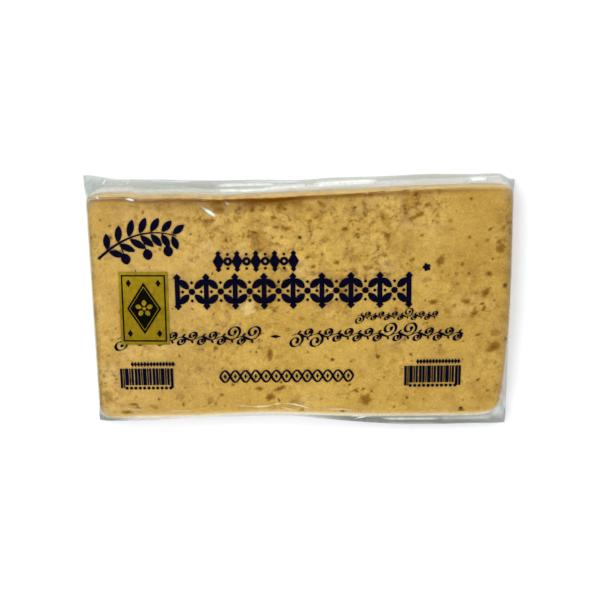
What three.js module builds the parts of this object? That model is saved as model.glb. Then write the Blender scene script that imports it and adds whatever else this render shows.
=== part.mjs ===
// A bar of soft nougat sealed in a pack of clear film, with a foil seal label on its face.
// Millimetres. X runs along the bar, Y across it and +Z up. The pack lies on z = 0, and the
// origin is the middle of its underside. The pack is one closed solid: the bar, the film drawn
// tight over it, and the loose film that stands out round its sides as a thin flattened fin.

import * as THREE from 'three';

const { smoothstep, lerp, clamp } = THREE.MathUtils;

// ---- Driving dimensions ----

const BAR_LENGTH = 184;
const BAR_WIDTH = 102;
const PACK_HEIGHT = 14;
const CORNER_RADIUS = 5;        // the bar's upright corners, seen from above
const FACE_EDGE_RADIUS = 1.8;   // between the face and the sides
const BASE_EDGE_RADIUS = 1.2;   // between the sides and the underside
const FACE_RIM = 3;             // from the face's grid to the bar's outline
const FACE_RELIEF = 0.3;        // depth of the slow hollows in the pressed face
const FIN_TIP_THICKNESS = 0.4;
const FIN_ROOT_THICKNESS = 2.4;
const FIN_WAVE = { height: 0.35, length: 46 };

const FACE_CELLS = { x: 40, y: 22 };
const EDGE_STEPS = 2;           // facets round each rounded edge
const FIN_STEPS = [0.12, 0.5, 1];

const LABEL = { width: 21.8, height: 33.6, thickness: 0.15, x: -69.4, y: 0, turn: -0.8, corner: 0.4 };
const LABEL_FLAT = { margin: 7, blend: 6 };   // the face stays flat this far round the label

const HALF_LENGTH = BAR_LENGTH / 2;
const HALF_WIDTH = BAR_WIDTH / 2;

// ---- Small helpers ----

const bump = (x, centre, width) => Math.exp(-(((x - centre) / width) ** 2));
const degrees = THREE.MathUtils.degToRad;

// ---- Outline of the bar and reach of the film ----

// The hand-cut bar isn't quite square: one long side swells and dips, the other is drawn in
// near its middle, and the right end narrows towards the front, where its corner is rounder.
function skew(x, y) {
  const back = 2 * smoothstep(x, 5, 76) - 0.2 - 1.6 * bump(x, -22, 27)
    - 1.35 * smoothstep(-x, 20, 50) * smoothstep(x, -76, -68) + 0.7 * bump(x, -50, 12)
    - 0.3 * smoothstep(-x, 68, 76);
  const front = 1.5 * bump(x, -14, 27) - 1.45;
  const right = 1.5 + 0.5 * bump(y, 10, 25) - 1.8 * smoothstep(-y, 8, 48);
  const left = -0.65;
  const backShare = (1 + y / HALF_WIDTH) / 2;
  const rightShare = (1 + x / HALF_LENGTH) / 2;
  const rounding = 1.5 * smoothstep(x, 78, 92) * smoothstep(-y, 37, 51);
  const shiftX = rightShare * right + (1 - rightShare) * left - rounding;
  return new THREE.Vector2(shiftX, backShare * back + (1 - backShare) * front + rounding);
}

// How far the fin's tip stands out of the straight outline along each side.
const finBack = (x) =>
  5.5 + 2.4 * smoothstep(-x, 76, 92) - 0.9 * bump(x, -1, 12) - 0.85 * bump(x, -32, 28)
  + smoothstep(x, 32, 58) - 0.4 * bump(x, 72, 12) - 2.6 * smoothstep(x, 85, 90);
const finFront = (x) => 3.9 + 1.8 * smoothstep(-x, 42, 68) + 4 * smoothstep(x, -12, 46);
const finLeft = (y) =>
  1.7 + 1.3 * smoothstep(y, 30, 41) + 0.4 * smoothstep(y, 44, 51) + 1.2 * smoothstep(-y, 40, 50);
const finRight = (y) => 2.9 + 0.5 * smoothstep(y, 43, 50);

// Height of the fin's middle above the underside: half way up the sides, lower at the back
// and lowest at the back left corner, where the film lies down.
function finHeight(x, y) {
  const back = smoothstep(y, 15, HALF_WIDTH);
  const front = smoothstep(-y, 15, HALF_WIDTH);
  return 6.5 - back * (2.4 + smoothstep(-x, 40, HALF_LENGTH))
    - 1.5 * front * smoothstep(-x, -45, 10);
}

// A point of the sharp rectangle, moved out to the bar's rounded outline and past it by `out`.
function onOutline(x, y, out) {
  const coreX = clamp(x, CORNER_RADIUS - HALF_LENGTH, HALF_LENGTH - CORNER_RADIUS);
  const coreY = clamp(y, CORNER_RADIUS - HALF_WIDTH, HALF_WIDTH - CORNER_RADIUS);
  const away = new THREE.Vector2(x - coreX, y - coreY).setLength(CORNER_RADIUS + out);
  return new THREE.Vector2(coreX, coreY).add(away).add(skew(x, y));
}

// The same point moved out to the tip of the fin, whose corners stay square.
function onFinTip(x, y) {
  const alongX = x / HALF_LENGTH;
  const alongY = y / HALF_WIDTH;
  const reachX = x < 0 ? finLeft(y) : finRight(y);
  const reachY = y < 0 ? finFront(x) : finBack(x);
  return new THREE.Vector2(x + alongX * reachX, y + alongY * reachY);
}

// ---- The face ----

// Depth of the face's slow hollows, which fade out round the label's flat seat.
function faceDepth(x, y) {
  const outsideX = Math.abs(x - LABEL.x) - LABEL.width / 2 - LABEL_FLAT.margin;
  const outsideY = Math.abs(y - LABEL.y) - LABEL.height / 2 - LABEL_FLAT.margin;
  const clear = smoothstep(Math.max(outsideX, outsideY), 0, LABEL_FLAT.blend);
  const slow = Math.sin(x / 13 + 1.3 * Math.sin(y / 17)) * Math.cos(y / 11 - 0.8 * Math.sin(x / 23));
  const broad = Math.sin(x / 31 + 2.1) * Math.sin(y / 24 + 0.6);
  return FACE_RELIEF * clear * (0.5 + 0.28 * slow + 0.22 * broad);
}

// ---- The pack's loops, from the face's rim down to the underside ----

function gridPoint(i, j) {
  const x = lerp(-HALF_LENGTH, HALF_LENGTH, i / FACE_CELLS.x);
  const y = lerp(-HALF_WIDTH, HALF_WIDTH, j / FACE_CELLS.y);
  return new THREE.Vector2(x, y);
}

// Points round the sharp rectangle, anticlockwise from its front left corner.
function rectangleWalk() {
  const { x: nx, y: ny } = FACE_CELLS;
  const walk = [];
  for (let i = 0; i < nx; i += 1) walk.push([i, 0]);
  for (let j = 0; j < ny; j += 1) walk.push([nx, j]);
  for (let i = nx; i > 0; i -= 1) walk.push([i, ny]);
  for (let j = ny; j > 0; j -= 1) walk.push([0, j]);
  return walk;
}

// A rounded edge's facets: from one angle to another round a centre `radius` inside the wall.
function edgeLoops(radius, centreHeight, fromAngle, toAngle) {
  const loops = [];
  for (let step = 0; step <= EDGE_STEPS; step += 1) {
    const angle = degrees(lerp(fromAngle, toAngle, step / EDGE_STEPS));
    const out = radius * (Math.cos(angle) - 1);
    const height = centreHeight + radius * Math.sin(angle);
    loops.push((x, y) => ({ at: onOutline(x, y, out), height }));
  }
  return loops;
}

// One side of the fin, side = 1 above and -1 below, with the wall's foot where it starts.
function finLoops(side) {
  const shares = [0, ...FIN_STEPS];
  return shares.map((share) => (x, y) => {
    const at = onOutline(x, y, 0.2).lerp(onFinTip(x, y), share);
    const wave = FIN_WAVE.height * Math.sin((2 * Math.PI * x) / FIN_WAVE.length) * share;
    const thickness = lerp(FIN_ROOT_THICKNESS, FIN_TIP_THICKNESS, Math.sqrt(share));
    return { at, height: finHeight(x, y) + wave + (side * thickness) / 2 };
  });
}

function packLoops() {
  const faceEdge = edgeLoops(FACE_EDGE_RADIUS, PACK_HEIGHT - FACE_EDGE_RADIUS, 90, 0);
  const baseEdge = edgeLoops(BASE_EDGE_RADIUS, BASE_EDGE_RADIUS, 0, -90);
  return [...faceEdge, ...finLoops(1), ...finLoops(-1).reverse(), ...baseEdge];
}

// ---- Solids ----

function packGeometry() {
  const positions = [];
  const triangles = [];
  const addPoint = (at, height) => positions.push(at.x, at.y, height) / 3 - 1;
  const addQuad = (a, b, c, d) => triangles.push(a, b, c, a, c, d);

  const { x: nx, y: ny } = FACE_CELLS;
  const face = [];
  for (let i = 0; i <= nx; i += 1) {
    face.push([]);
    for (let j = 0; j <= ny; j += 1) {
      const { x, y } = gridPoint(i, j);
      const onRim = i === 0 || j === 0 || i === nx || j === ny;
      const inset = new THREE.Vector2(x * (1 - FACE_RIM / HALF_LENGTH), y * (1 - FACE_RIM / HALF_WIDTH));
      const at = onRim ? onOutline(x, y, -FACE_RIM) : inset.clone().add(skew(x, y));
      face[i].push(addPoint(at, PACK_HEIGHT - (onRim ? 0 : faceDepth(inset.x, inset.y))));
    }
  }
  for (let i = 0; i < nx; i += 1) {
    for (let j = 0; j < ny; j += 1) {
      addQuad(face[i][j], face[i + 1][j], face[i + 1][j + 1], face[i][j + 1]);
    }
  }

  const walk = rectangleWalk();
  let upper = walk.map(([i, j]) => face[i][j]);
  for (const loop of packLoops()) {
    const lower = walk.map(([i, j]) => {
      const { x, y } = gridPoint(i, j);
      const { at, height } = loop(x, y);
      return addPoint(at, height);
    });
    lower.forEach((corner, k) => {
      const next = (k + 1) % lower.length;
      addQuad(upper[k], corner, lower[next], upper[next]);
    });
    upper = lower;
  }

  const underside = upper.map((k) => new THREE.Vector2(positions[3 * k], positions[3 * k + 1]));
  for (const [a, b, c] of THREE.ShapeUtils.triangulateShape(underside, [])) {
    triangles.push(upper[a], upper[c], upper[b]);
  }

  const geometry = new THREE.BufferGeometry();
  geometry.setAttribute('position', new THREE.Float32BufferAttribute(positions, 3));
  geometry.setIndex(triangles);
  geometry.computeVertexNormals();
  return geometry;
}

function labelGeometry() {
  const { width, height, corner, thickness } = LABEL;
  const outline = new THREE.Shape();
  const quarter = Math.PI / 2;
  const centres = [[1, -1], [1, 1], [-1, 1], [-1, -1]];
  centres.forEach(([sideX, sideY], k) => {
    const x = sideX * (width / 2 - corner);
    const y = sideY * (height / 2 - corner);
    outline.absarc(x, y, corner, (k - 1) * quarter, k * quarter, false);
  });
  return new THREE.ExtrudeGeometry(outline, { depth: thickness, bevelEnabled: false, curveSegments: 4 });
}

function piece(name, geometry, material) {
  const mesh = new THREE.Mesh(geometry, new THREE.MeshStandardMaterial(material));
  mesh.name = name;
  return mesh;
}

function sealLabel() {
  const gold = { color: 0x9a8425, roughness: 0.35, metalness: 0.8 };
  const label = piece('seal_label', labelGeometry(), gold);
  label.position.set(LABEL.x, LABEL.y, PACK_HEIGHT);
  label.rotation.z = degrees(LABEL.turn);
  return label;
}

const pack = new THREE.Group();
pack.add(piece('film_wrapped_block', packGeometry(), { color: 0xc9a556, roughness: 0.35, metalness: 0 }));
pack.add(sealLabel());

export default pack;
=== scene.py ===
# %% [markdown]
# # A bar of soft nougat in a printed clear pack
#
# The real thing is a slab of pressed almond nougat, drawn tight into a bag of clear film. The
# film is printed in navy, its loose edges stand out round the bar as a thin wrinkled fin, and a
# gold foil seal is stuck on the face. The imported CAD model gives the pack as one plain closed
# solid and the seal as a thin slab. This file replaces them with what one sees: the nougat with
# its crumbs, cracks and toasted almond, the film round it, the print on the film and the foil.
# Shapes are worked out in millimetres and turned into metres when a mesh is made.

import bpy
import numpy as np
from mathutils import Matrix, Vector


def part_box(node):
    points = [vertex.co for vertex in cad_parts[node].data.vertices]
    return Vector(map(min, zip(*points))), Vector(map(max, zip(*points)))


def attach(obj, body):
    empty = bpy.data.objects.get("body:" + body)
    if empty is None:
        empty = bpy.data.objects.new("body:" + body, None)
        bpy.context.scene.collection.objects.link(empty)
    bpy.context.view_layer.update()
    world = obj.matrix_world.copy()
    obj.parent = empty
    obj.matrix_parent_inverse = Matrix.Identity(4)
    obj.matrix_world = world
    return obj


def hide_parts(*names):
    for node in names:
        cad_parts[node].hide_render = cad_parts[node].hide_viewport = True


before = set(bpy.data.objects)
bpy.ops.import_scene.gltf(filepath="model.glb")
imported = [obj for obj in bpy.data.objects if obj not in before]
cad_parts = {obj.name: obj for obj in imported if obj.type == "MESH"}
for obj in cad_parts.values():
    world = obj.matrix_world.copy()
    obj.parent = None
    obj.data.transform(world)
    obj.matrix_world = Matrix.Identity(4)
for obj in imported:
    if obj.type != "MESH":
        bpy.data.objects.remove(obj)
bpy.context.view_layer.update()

MM = 0.001
label_low, label_high = (np.array(corner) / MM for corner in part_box("seal_label"))
pack_low, pack_high = (np.array(corner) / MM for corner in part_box("film_wrapped_block"))
FACE_Z = pack_high[2]
print("pack, mm:", pack_low.round(1), pack_high.round(1))
print("label, mm:", label_low.round(1), label_high.round(2))

# %% [markdown]
# ## Camera
#
# The pack lies on a table and is looked at from almost straight above, a little from the back,
# so its face is a slightly narrowing rectangle and the back side shows as a thin band. A long
# lens from half a metre keeps the edges nearly parallel. The camera could be aimed with a
# constraint, but fixed numbers give the same picture on every run.

# %% Camera
CAMERA_PLACE = (7.2, 116.3, 451.5)
CAMERA_TURN = (-14.5, 0.71, -0.77)
LENS = 60.96
SENSOR = 36.0

lens_data = bpy.data.cameras.new("camera")
lens_data.sensor_width = SENSOR
lens_data.lens = LENS
camera = bpy.data.objects.new("camera", lens_data)
camera.location = Vector(CAMERA_PLACE) * MM
camera.rotation_euler = np.radians(CAMERA_TURN)
bpy.context.scene.collection.objects.link(camera)
bpy.context.scene.camera = camera
print("camera height, m:", round(camera.location.z, 3))

# %% [markdown]
# ## Node helpers
#
# Every finish here is a small tree of shader nodes. Writing each node by hand takes many lines,
# so one helper adds a node, sets its plain values and links its inputs. Patterns read Object
# coordinates, which are metres from the pack's origin, so a noise scale of 500 makes features
# of about 2 mm.


# %% Node helpers
def new_material(name):
    """An empty node material and its output node."""
    material = bpy.data.materials.new(name)
    material.use_nodes = True
    material.node_tree.nodes.clear()
    return material, material.node_tree.nodes.new("ShaderNodeOutputMaterial")


def add_node(material, kind, settings=None, **inputs):
    """A node of this kind. Settings are its properties; inputs are values or sockets, by name."""
    tree = material.node_tree
    node = tree.nodes.new("ShaderNode" + kind)
    for key, value in (settings or {}).items():
        setattr(node, key, value)
    for key, value in inputs.items():
        socket = node.inputs[int(key[1:])] if key[0] == "_" else node.inputs[key.replace("_", " ")]
        if isinstance(value, bpy.types.NodeSocket):
            tree.links.new(value, socket)
        else:
            socket.default_value = value
    return node


def noise(material, scale, detail=2.0, roughness=0.5):
    """Noise from 0 to 1 on Object coordinates, with this many features to the metre."""
    place = add_node(material, "TexCoord").outputs["Object"]
    node = add_node(material, "TexNoise", Vector=place, Scale=scale, Detail=detail, Roughness=roughness)
    return node.outputs["Fac"]


def ramp(material, factor, *stops):
    """A colour ramp over stops of (place, colour) or (place, grey)."""
    node = add_node(material, "ValToRGB", Fac=factor)
    elements = node.color_ramp.elements
    while len(elements) < len(stops):
        elements.new(0.5)
    for element, (place, colour) in zip(elements, stops):
        element.position = place
        element.color = (*colour, 1) if isinstance(colour, tuple) else (colour, colour, colour, 1)
    return node.outputs["Color"]


def blend_colours(material, factor, low, high, how="MIX"):
    """Low and high mixed by the factor, or high laid over low in another way."""
    node = add_node(material, "Mix", {"data_type": "RGBA", "blend_type": how}, _0=factor)
    for socket, value in ((node.inputs[6], low), (node.inputs[7], high)):
        if isinstance(value, bpy.types.NodeSocket):
            material.node_tree.links.new(value, socket)
        else:
            socket.default_value = (*value, 1)
    return node.outputs[2]


def attribute(material, name):
    """A number painted on the piece's own points."""
    return add_node(material, "Attribute", {"attribute_name": name}).outputs["Fac"]


def arithmetic(material, operation, first, second=0.0, third=0.0):
    """One step of arithmetic on numbers or sockets."""
    node = add_node(material, "Math", {"operation": operation}, _0=first, _1=second, _2=third)
    return node.outputs[0]


# %% [markdown]
# ## Floor and light
#
# The table is plain white card in a bright room. The flat face of the film mirrors one part of
# it, high up and a little to the front, and that part is dark, so the film looks clear and the
# ink stays black, while every fold that leans over mirrors a bright part and turns pale. A soft
# lamp at the back left leaves a faint shadow at the right and the front. Two long thin lamps,
# one behind and one in front, draw bright streaks along the folds and the front edge. One large
# lamp would light the bar as well, but film needs narrow bright shapes to mirror.

# %% Floor and light
FLOOR_SIZE = 6.0
FLOOR_Z = -0.0002
CARD_COLOUR = (0.905, 0.92, 0.945, 1)
ROOM_BRIGHT = 0.97
ROOM_DARK = 0.10
ROOM_COLOUR = (0.985, 1.0, 1.02)
DARK_TOWARDS = (0.0, -0.26, 0.966)
DARK_EDGE = 0.05
BRIGHT_EDGE = 0.16
BRIGHT_SIDE = (-0.35, 0.94, 0.0)
SIDE_GAIN = 0.17
LAMPS = {
    "soft_box": {"place": (-0.68, 0.37, 1.3), "size": (0.85, 0.85), "power": 8.5},
    "back_strip": {"place": (0.1, 1.0, 1.25), "size": (2.2, 0.12), "power": 6.0},
    "front_strip": {"place": (0.1, -1.25, 0.6), "size": (1.6, 0.16), "power": 4.5},
}

half = FLOOR_SIZE / 2
floor_mesh = bpy.data.meshes.new("floor")
floor_corners = [(-half, -half, 0), (half, -half, 0), (half, half, 0), (-half, half, 0)]
floor_mesh.from_pydata(floor_corners, [], [(0, 1, 2, 3)])
floor = bpy.data.objects.new("floor", floor_mesh)
floor.location.z = FLOOR_Z
bpy.context.scene.collection.objects.link(floor)
card, card_output = new_material("white_card")
card_shader = add_node(card, "BsdfDiffuse", Color=CARD_COLOUR)
card.node_tree.links.new(card_shader.outputs[0], card_output.inputs["Surface"])
floor_mesh.materials.append(card)

world = bpy.data.worlds.new("room")
world.use_nodes = True
heading = add_node(world, "TexCoord").outputs["Generated"]
dot = {"operation": "DOT_PRODUCT"}
facing = add_node(world, "VectorMath", dot, _0=heading, _1=DARK_TOWARDS).outputs["Value"]
aside = arithmetic(world, "SUBTRACT", 1.0, facing)
dark = tuple(ROOM_DARK * channel for channel in ROOM_COLOUR)
room = ramp(world, aside, (0.0, dark), (DARK_EDGE, dark), (BRIGHT_EDGE, ROOM_COLOUR), (1.0, ROOM_COLOUR))
world.node_tree.links.new(room, world.node_tree.nodes["Background"].inputs["Color"])
side = add_node(world, "VectorMath", dot, _0=heading, _1=BRIGHT_SIDE).outputs["Value"]
strength = arithmetic(world, "MULTIPLY_ADD", side, SIDE_GAIN * ROOM_BRIGHT, ROOM_BRIGHT)
world.node_tree.links.new(strength, world.node_tree.nodes["Background"].inputs["Strength"])
bpy.context.scene.world = world
bpy.context.scene.view_settings.view_transform = "Standard"

for name, lamp in LAMPS.items():
    data = bpy.data.lights.new(name, "AREA")
    data.shape = "RECTANGLE"
    data.size, data.size_y = lamp["size"]
    data.energy = lamp["power"]
    source = bpy.data.objects.new(name, data)
    source.location = lamp["place"]
    source.rotation_euler = (-source.location).to_track_quat("-Z", "Y").to_euler()
    bpy.context.scene.collection.objects.link(source)
    print(name, lamp["power"], "W")

# %% [markdown]
# ## The bar's outline
#
# Nougat and film share one outline: a rectangle with rounded corners that a knife left a little
# out of square. A plain grid of squares covers the rectangle, and in each corner a square patch
# of it is bent into a quarter disc, so no point is crowded and the same map serves for the face
# and for every loop that goes down the sides. The back corners stay sharper than the front ones.

# %% The bar's outline
BAR_HALF = np.array([92.0, 51.0])
CORNER_RADIUS = 5.0
BACK_SQUARENESS = 0.65
FRONT_RIGHT_CUT = 0.3


def ease(value, low, high):
    """Zero below low, one above high and a smooth S between: 3t squared minus 2t cubed."""
    t = np.clip((value - low) / (high - low), 0, 1)
    return t * t * (3 - 2 * t)


def bump(value, centre, width):
    """A round hill of height one: e to the minus square of the distance in widths."""
    return np.exp(-(((value - centre) / width) ** 2))


def skew(x, y):
    """How far the cut bar departs from its rectangle: each long side's swell and dip, shared
    out across the bar by the distance to that side, and the right end's narrowing."""
    back = 2.0 * ease(x, 5, 76) - 0.2 - 1.6 * bump(x, -22, 27) - 1.35 * ease(-x, 20, 50) * ease(x, -76, -68)
    back = back + 0.7 * bump(x, -50, 12) - 0.3 * ease(-x, 68, 76)
    front = 1.5 * bump(x, -14, 27) - 1.45
    right = 1.5 + 0.5 * bump(y, 10, 25) - 1.8 * ease(-y, 8, 48)
    left = -0.65
    back_share = (1 + y / BAR_HALF[1]) / 2
    right_share = (1 + x / BAR_HALF[0]) / 2
    rounding = 1.5 * ease(x, 78, 92) * ease(-y, 37, 51)
    shift_x = right_share * right + (1 - right_share) * left - rounding
    return shift_x, back_share * back + (1 - back_share) * front + rounding


def skewed(x, y):
    """Plan points with the skew added."""
    dx, dy = skew(x, y)
    return x + dx, y + dy


def shifted(x, y, z):
    """Points in space with the skew added."""
    return np.stack(np.broadcast_arrays(*skewed(x, y), z), -1)


def split_corners(x, y, half_size):
    """Each point as a core point on the inner rectangle and the rest of the way to it, with
    the square patch at each corner bent into a quarter disc: the longer of the two steps
    becomes the distance, and the shorter over the longer becomes the angle."""
    inner = half_size - CORNER_RADIUS
    core_x, core_y = np.clip(x, -inner[0], inner[0]), np.clip(y, -inner[1], inner[1])
    step_x, step_y = x - core_x, y - core_y
    longer = np.maximum(abs(step_x), abs(step_y))
    shorter = np.minimum(abs(step_x), abs(step_y))
    angle = np.pi / 4 * shorter / np.maximum(longer, 1e-9)
    along, across = longer * np.cos(angle), longer * np.sin(angle)
    wide = abs(step_x) >= abs(step_y)
    bent_x = np.sign(step_x) * np.where(wide, along, across)
    bent_y = np.sign(step_y) * np.where(wide, across, along)
    square = BACK_SQUARENESS * (y > 0) - FRONT_RIGHT_CUT * ((y < 0) & (x > 0))
    bent_x, bent_y = bent_x + square * (step_x - bent_x), bent_y + square * (step_y - bent_y)
    return (core_x, core_y), (step_x, step_y), (bent_x, bent_y)


# %% [markdown]
# ## Grids, loops and meshes
#
# A closed slab is a grid for the face, a stack of loops that starts at the grid's border and
# goes down the side, and a second grid for the underside. The underside needs fewer points, so
# the loop count is halved on the way. The helpers below give the point numbers of each part as
# whole arrays, and one function puts points and faces into a mesh.


# %% Grids, loops and meshes
def border_walk(cells_x, cells_y):
    """Column and row of the grid's border points, anticlockwise from the front left corner."""
    right, up = np.arange(cells_x), np.arange(cells_y)
    column = np.concatenate([right, np.full(cells_y, cells_x), cells_x - right, 0 * up])
    row = np.concatenate([0 * right, up, np.full(cells_x, cells_y), cells_y - up])
    return column, row


def grid_quads(ids):
    """Quads of a sheet of point numbers, facing up where the first index runs along X."""
    corners = [ids[:-1, :-1], ids[1:, :-1], ids[1:, 1:], ids[:-1, 1:]]
    return np.stack([corner.ravel() for corner in corners], 1)


def loop_quads(upper, lower):
    """Quads between two closed loops with as many points, the upper one further in."""
    return np.stack([upper, lower, np.roll(lower, -1), np.roll(upper, -1)], 1)


def halving_triangles(upper, lower):
    """Triangles from a loop to one with half as many points: three for each lower step."""
    even, odd, after = upper[::2], upper[1::2], np.roll(upper[::2], -1)
    lower_after = np.roll(lower, -1)
    steps = [(even, lower, odd), (odd, lower, lower_after), (odd, lower_after, after)]
    return np.concatenate([np.stack(step, 1) for step in steps])


def make_piece(name, points, faces, material, slot, attributes=None, sharp_angle=None):
    """A mesh object from points in millimetres and arrays of triangles and quads, riding on the
    pack's one body, with numbers painted on its points where a material reads them, and hard
    edges where two faces meet at more than the sharp angle in degrees."""
    mesh = bpy.data.meshes.new(name)
    mesh.vertices.add(len(points))
    mesh.vertices.foreach_set("co", (np.asarray(points) * MM).astype(np.float32).ravel())
    corners = np.concatenate([block.ravel() for block in faces]).astype(np.int32)
    sides = np.concatenate([np.full(len(block), block.shape[1]) for block in faces])
    mesh.loops.add(len(corners))
    mesh.loops.foreach_set("vertex_index", corners)
    mesh.polygons.add(len(sides))
    starts = np.concatenate([[0], np.cumsum(sides)[:-1]]).astype(np.int32)
    mesh.polygons.foreach_set("loop_start", starts)
    mesh.polygons.foreach_set("use_smooth", np.ones(len(sides), bool))
    mesh.update(calc_edges=True)
    if sharp_angle:
        mesh.set_sharp_from_angle(angle=np.radians(sharp_angle))
    for key, values in (attributes or {}).items():
        layer = mesh.attributes.new(key, "FLOAT", "POINT")
        layer.data.foreach_set("value", np.asarray(values, np.float32).ravel())
    piece = bpy.data.objects.new(name, mesh)
    bpy.context.scene.collection.objects.link(piece)
    mesh.materials.append(material)
    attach(piece, "root")
    print(name, len(points), "points,", int((sides - 2).sum()), "triangles")
    return piece


# %% [markdown]
# ## Seeded noise
#
# Crumb, cracks and creases need uneven numbers that are the same on every run. Lattice noise
# looks up random numbers at whole steps and blends between them; cell noise drops one random
# point into every square and measures how far away the nearest two are, which gives plates
# with cracks between them. Blender's noise module works point by point, and whole arrays are
# far quicker.

# %% Seeded noise
TABLE_SIZE = 64
RANDOM = np.random.default_rng(1907)
NOISE_TABLE = RANDOM.random((TABLE_SIZE, TABLE_SIZE, TABLE_SIZE))


def lattice(x, y, cell, layer=0, z=0.0):
    """Smooth noise from -1 to 1: the eight nearest lattice values, blended by an S curve of
    the distance to each. One cell is one lattice step, in millimetres."""
    place = [np.broadcast_to(axis / cell, np.shape(x)) for axis in (x, y, z)]
    base = [np.floor(axis).astype(int) for axis in place]
    share = [ease(axis - low, 0, 1) for axis, low in zip(place, base)]
    total = 0
    for corner in np.ndindex(2, 2, 2):
        index = [(low + step + 17 * layer) % TABLE_SIZE for low, step in zip(base, corner)]
        weight = [s if step else 1 - s for s, step in zip(share, corner)]
        total = total + NOISE_TABLE[tuple(index)] * weight[0] * weight[1] * weight[2]
    return 2 * total - 1


def cells(x, y, size, layer):
    """Distance to the nearest of the points strewn one to a square, the gap to the second
    nearest, and a random number that belongs to the nearest."""
    column, row = np.floor(x / size).astype(int), np.floor(y / size).astype(int)
    nearest, second = np.full(np.shape(x), 1e9), np.full(np.shape(x), 1e9)
    chance = np.zeros(np.shape(x))
    for step_x, step_y in np.ndindex(3, 3):
        i, j = column + step_x - 1, row + step_y - 1
        key = (i % TABLE_SIZE, j % TABLE_SIZE)
        seed_x = (i + NOISE_TABLE[(*key, layer)]) * size
        seed_y = (j + NOISE_TABLE[(*key, layer + 1)]) * size
        distance = np.hypot(x - seed_x, y - seed_y)
        closer = distance < nearest
        second = np.where(closer, nearest, np.minimum(second, distance))
        chance = np.where(closer, NOISE_TABLE[(*key, layer + 2)], chance)
        nearest = np.where(closer, distance, nearest)
    return nearest, second - nearest, chance


def arc_marks(x, y, arcs):
    """How strongly points are marked by some arcs: the strongest mark of all. An arc is the
    straight line between two ends, bowed sideways by a parabola; its mark is a bell across
    it, so many millimetres wide, that fades at both ends."""
    mark = np.zeros(np.shape(x))
    for x0, y0, x1, y1, bow, width, strength in arcs:
        length = np.hypot(x1 - x0, y1 - y0)
        ux, uy = (x1 - x0) / length, (y1 - y0) / length
        t = ((x - x0) * ux + (y - y0) * uy) / length
        aside = (y - y0) * ux - (x - x0) * uy - 4 * bow * t * (1 - t)
        ends = ease(t, 0, 0.2) * ease(1 - t, 0, 0.2)
        mark = np.maximum(mark, strength * ends * bump(aside, 0, width))
    return mark


# %% [markdown]
# ## The face's slow hollows
#
# The bar was pressed by hand, so its face rolls by a few tenths of a millimetre. The film lies
# on it, and the print and the nougat follow the same swell. It is flat under the seal, as the
# CAD solid is.

# %% Slow hollows
LABEL_CENTRE = (label_low + label_high)[:2] / 2
LABEL_HALF = np.array([10.9, 16.8])
FACE_RELIEF = 0.3
FLAT_MARGIN = 7.0
FLAT_BLEND = 6.0
FACE_RIM_FADE = 6.0


def away_from_label(x, y, margin, blend):
    """Zero on the seal's seat and one further off."""
    gap_x = abs(x - LABEL_CENTRE[0]) - LABEL_HALF[0]
    gap_y = abs(y - LABEL_CENTRE[1]) - LABEL_HALF[1]
    return ease(np.maximum(gap_x, gap_y), margin, margin + blend)


def rim_distance(x, y):
    """Distance from the bar's nearest straight side, inwards."""
    return np.minimum(BAR_HALF[0] - abs(x), BAR_HALF[1] - abs(y))


def swell(x, y):
    """Depth of the slow hollows: two crossed waves bent by each other, faded at the rim."""
    slow = np.sin(x / 13 + 1.3 * np.sin(y / 17)) * np.cos(y / 11 - 0.8 * np.sin(x / 23))
    broad = np.sin(x / 31 + 2.1) * np.sin(y / 24 + 0.6)
    fade = away_from_label(x, y, FLAT_MARGIN, FLAT_BLEND) * ease(rim_distance(x, y), 1, FACE_RIM_FADE)
    return FACE_RELIEF * fade * (0.5 + 0.28 * slow + 0.22 * broad)
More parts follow.
